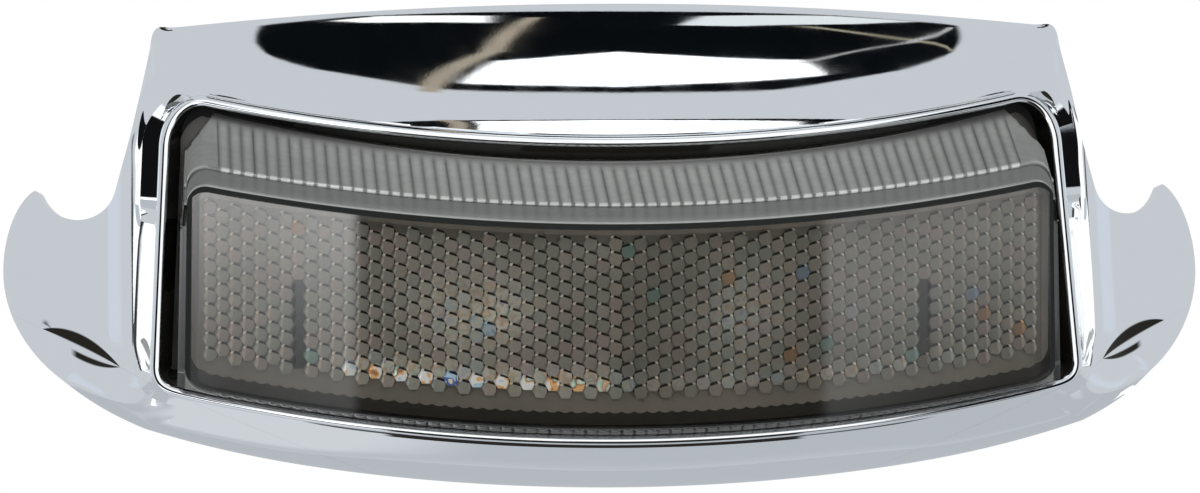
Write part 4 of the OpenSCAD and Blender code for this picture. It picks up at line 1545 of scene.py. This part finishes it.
# ---------- studio ----------
class Sky:
    """What polished metal mirrors, written into the world's node tree.

    A direction is a turn, 0 towards the viewer and 90 overhead, and a side, + to the right, both
    in degrees.
    """

    def __init__(self, w: NodeWriter) -> None:
        """Writes the turn and the side of each direction.

        Args:
            w: writer of the world's tree.
        """
        self.w = w
        way = w.add("ShaderNodeSeparateXYZ", Vector=w.node("ShaderNodeTexCoord").outputs["Generated"])
        x, y, z = way.outputs
        degrees = 180 / math.pi
        self.side = w.math("MULTIPLY", w.math("ARCSINE", x), degrees)
        turn = w.math("MULTIPLY", w.math("ARCTAN2", z, w.math("MULTIPLY", y, -1.0)), degrees)
        self.turn = w.math("ADD", turn, w.math("MULTIPLY", w.math("LESS_THAN", turn, -90.0), 360.0))
        self.flank = w.math("ABSOLUTE", self.side)
        self.where = w.add("ShaderNodeCombineXYZ", i0=self.turn, i1=self.side, i2=1.0).outputs[0]

    def patch(self, turns: tuple, sides: tuple, soft: float, both: bool = True) -> bpy.types.NodeSocket:
        """A mask of a patch.

        Args:
            turns: the span of turn.
            sides: the span of side.
            soft: half the width of its soft edges.
            both: whether it lies on both sides alike.

        Returns:
            1 in the patch, 0 outside it.
        """
        across = self.flank if both else self.side
        return self.w.math(
            "MULTIPLY", self.w.within(self.turn, *turns, soft), self.w.within(across, *sides, soft)
        )

    def panel(self, corners: tuple, soft: float) -> bpy.types.NodeSocket:
        """A mask of a convex panel.

        Args:
            corners: its corners in order, as (turn, side).
            soft: half the width of its soft edges.

        Returns:
            1 in the panel, 0 outside it.
        """
        nearest = None
        middle = np.mean(corners, axis=0)
        for a, b in zip(corners, corners[1:] + corners[:1], strict=True):
            inward = unit(np.array([a[1] - b[1], b[0] - a[0]], float))
            inward *= np.sign(np.dot(middle - a, inward))
            line = self.w.feed(
                self.w.node("ShaderNodeVectorMath", operation="DOT_PRODUCT"),
                i0=self.where,
                i1=(inward[0], inward[1], -float(np.dot(inward, a))),
            ).outputs[1]
            nearest = line if nearest is None else self.w.math("MINIMUM", nearest, line)
        return self.w.smooth_step(nearest, -soft, soft)


@dataclass
class Studio:
    """Plain floor, soft lamps, the grey surround that bright metal mirrors, and the camera."""

    azimuth: float = -5.0
    elevation: float = 4.5
    distance: float = 1.2
    frame_width: float = 0.25692  # metres across the frame at the lamp's distance
    aside: float = 0.00631595  # how far the lamp's middle lies right of the frame's, in metres
    floor_drop: float = 0.16
    floor_reach: float = 6.0

    WHITE, PLAIN_LIGHT, FLOOR_GREY = (1.0, 1.0, 1.0), (0.85, 0.86, 0.88), (0.86, 0.86, 0.86)
    SKY_GREY, GROUND_GREY = (0.635, 0.66, 0.685), (0.52, 0.545, 0.57)
    GROUND = ((196, 340, 14.0), (-88, -14, 12.0))  # where that darker grey lies: turns and softness
    # Broad patches: spans of turn and side, softness, whether on both sides, and colour
    PATCHES = (
        ((110, 158), (65, 77), 5.0, True, (0.68, 0.73, 0.79)),
        ((1, 57), (-1, 29), 3.0, True, (1.15, 1.15, 1.15)),
        ((-80, -17), (-60, -13), 6.0, False, (0.70, 0.72, 0.74)),
        ((-22, -6.4), (-47, 47), 1.2, False, (0.09, 0.09, 0.09)),
        ((-4.6, 3), (-62, 0), 1.7, False, (2.7, 2.72, 2.78)),
        ((-4.9, 2), (0, 62), 1.6, False, (0.6, 0.6, 0.6)),
        ((-38, 1), (-19.8, 23.2), 0.7, False, (0.025, 0.023, 0.021)),
        ((7, 46), (30, 58), 1.5, True, (0.006, 0.006, 0.007)),
    )
    # The dark skylight that the curved band mirrors, and the bright panes in it: corners as
    # (turn, side), softness and colour
    SKYLIGHT = (
        (76.5, 5.0), (77.2, -2.5), (80.5, -6.4), (87.5, -7.3), (97.0, -6.5), (115.0, -3.8), (120.5, -1.0),
        (119.6, 10.0), (114.0, 13.8), (97.0, 16.0), (88.0, 16.9), (80.4, 16.0), (77.4, 11.8),
    )  # fmt: skip
    PANES = (
        (SKYLIGHT, 0.35, (0.003, 0.004, 0.005)),
        (((79.4, -1.5), (78.3, 5.0), (81.4, 12.9), (95.8, 9.5), (92.0, 5.0), (94.0, 1.6)), 0.12,
         (1.5, 1.5, 1.5)),
        (((116.8, -1.7), (119.6, -0.5), (116.4, 1.6), (110.2, 1.3), (113.4, -1.1)), 0.12,
         (1.25, 1.25, 1.22)),
        (((115.7, 7.4), (108.0, 7.0), (107.6, 8.6), (111.6, 10.9), (116.4, 12.0), (118.8, 10.0)), 0.12,
         (0.85, 0.89, 0.90)),
        (((76.0, -3.5), (92.0, 0.1), (92.6, 0.8), (76.0, -2.7)), 0.1, (0.42, 0.36, 0.28)),
        (((92.0, 0.1), (114.5, 2.4), (114.5, 2.8), (92.2, 0.8)), 0.1, (0.42, 0.36, 0.28)),
        (((108.6, 10.0), (89.0, 16.7), (88.6, 16.5), (108.2, 9.8)), 0.08, (0.42, 0.38, 0.28)),
        (((87.0, 11.3), (96.4, 13.2), (96.6, 13.45), (87.0, 11.6)), 0.07, (0.5, 0.5, 0.5)),
        (((96.4, 13.2), (112.0, 13.3), (112.0, 13.6), (96.4, 13.45)), 0.07, (0.6, 0.6, 0.6)),
    )  # fmt: skip
    # Patches behind the lamp and overhead, in the same form as the broad ones
    HIND_PATCHES = (
        ((176.2, 212), (34.8, 48.3), 0.6, True, (1.25, 1.25, 1.25)),
        ((173, 178), (48.3, 51.2), 0.6, True, (0.03, 0.033, 0.036)),
        ((172, 200), (17, 34.8), 0.6, True, (0.006, 0.007, 0.009)),
    )
    # What only a ray that metal has mirrored twice reaches
    TWICE, TWICE_COLOUR, TWICE_DEPTH = ((95, 172), (52, 80), 6.0), (1.3, 1.3, 1.3), 2.5
    AIM = (0.0, -0.03, -0.03)  # what the soft lamps point at, in metres in the row frame

    def camera(self) -> None:
        """The camera, level, a little left of the lamp and above it."""
        a, e = math.radians(self.azimuth), math.radians(self.elevation)
        back = Vector((math.sin(a) * math.cos(e), -math.cos(a) * math.cos(e), math.sin(e)))
        right = Vector((math.cos(a), math.sin(a), 0.0))
        up = back.cross(right)
        data = bpy.data.cameras.new("camera")
        data.sensor_width = 36.0
        data.lens = self.distance / self.frame_width * data.sensor_width
        data.shift_x = -self.aside / self.frame_width
        data.clip_end = 100.0
        place = Vector((0.0, -LAMP_REACH * MM, -AXIS_DROP * MM)) + back * self.distance
        camera = link_object("camera", data)
        rows = [(right[i], up[i], back[i], place[i]) for i in range(3)] + [(0, 0, 0, 1)]
        camera.matrix_world = Matrix(rows)
        bpy.context.scene.camera = camera

    def surround(self) -> None:
        """The world: white behind the lamp, plain light on it, and what polished metal mirrors."""
        world = bpy.data.worlds.new("studio")
        bpy.context.scene.world = world
        world.use_nodes = True
        w = NodeWriter(world.node_tree)
        sky, grey = Sky(w), rgb(*self.GROUND_GREY)
        tone = rgb(*self.SKY_GREY)
        for span in self.GROUND:
            tone = w.blend(w.within(sky.turn, *span), tone, grey)
        layers = [(sky.patch(*spans), colour) for *spans, colour in self.PATCHES]
        layers += [(sky.panel(*shape), colour) for *shape, colour in self.PANES]
        layers += [(sky.patch(*spans), colour) for *spans, colour in self.HIND_PATCHES]
        for mask, colour in layers:
            tone = w.blend(mask, tone, rgb(*colour))
        path = w.node("ShaderNodeLightPath")
        again = w.math("GREATER_THAN", path.outputs["Ray Depth"], self.TWICE_DEPTH)
        tone = w.blend(w.math("MULTIPLY", again, sky.patch(*self.TWICE)), tone, rgb(*self.TWICE_COLOUR))
        plain = w.blend(path.outputs["Is Diffuse Ray"], tone, rgb(*self.PLAIN_LIGHT))
        unhindered = w.math("LESS_THAN", path.outputs["Transparent Depth"], 0.5)
        direct = w.math("MULTIPLY", path.outputs["Is Camera Ray"], unhindered)
        shown = w.blend(direct, plain, rgb(*self.WHITE))
        w.surface(w.add("ShaderNodeBackground", Color=shown, Strength=1.0), "ShaderNodeOutputWorld")

    def lamp(self, name: str, place: tuple, size: float, power: float) -> None:
        """A square soft lamp aimed at the object, which polished metal doesn't mirror.

        Args:
            name: its name.
            place: where it hangs, in metres in the row frame.
            size: the length of its side, in metres.
            power: its power, in watts.
        """
        data = bpy.data.lights.new(name, "AREA")
        data.size, data.energy = size, power
        obj = link_object(name, data)
        obj.location = place
        obj.rotation_mode = "QUATERNION"
        obj.rotation_quaternion = (Vector(self.AIM) - obj.location).to_track_quat("-Z", "Y")
        obj.visible_glossy = False
        obj.visible_camera = False

    def floor(self) -> None:
        """A wide pale floor below the lamp."""
        height, reach = CAD_BOX[0][2] - self.floor_drop, self.floor_reach
        corners = [(x * reach, y * reach, height) for x, y in ((-1, -1), (1, -1), (1, 1), (-1, 1))]
        mesh = bpy.data.meshes.new("floor")
        mesh.from_pydata(corners, [], [[0, 1, 2, 3]])
        floor = link_object("floor", mesh)
        material = bpy.data.materials.new("pale_floor")
        material.use_nodes = True
        w = NodeWriter(material.node_tree)
        matt = w.add("ShaderNodeBsdfDiffuse", Color=rgb(*self.FLOOR_GREY))
        glow = w.add("ShaderNodeEmission", Color=rgb(*self.WHITE), Strength=1.0)
        w.surface(w.mixed(w.node("ShaderNodeLightPath").outputs["Is Camera Ray"], matt, glow))
        mesh.materials.append(material)
        floor.visible_glossy = False

    def build(self) -> None:
        """Sets the whole stage."""
        bpy.context.scene.view_settings.view_transform = "Standard"
        self.camera()
        self.surround()
        self.floor()
        self.lamp("key_lamp", (-0.5, -0.9, 0.9), 0.8, 9.0)
        self.lamp("fill_lamp", (0.8, -0.8, 0.4), 0.8, 5.0)
        self.lamp("rim_lamp", (0.2, 0.9, 0.8), 0.8, 5.0)
        log.info("studio set")


def main() -> None:
    """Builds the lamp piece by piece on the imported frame."""
    logging.basicConfig(level=logging.INFO, format="%(name)s: %(message)s")
    Studio().build()
    window = Window()
    Bezel(window).build()
    lens = Lens(window)
    lens.build()
    ReflexOptic(lens).build()
    Hardware().build()


if __name__ == "__main__":
    main()
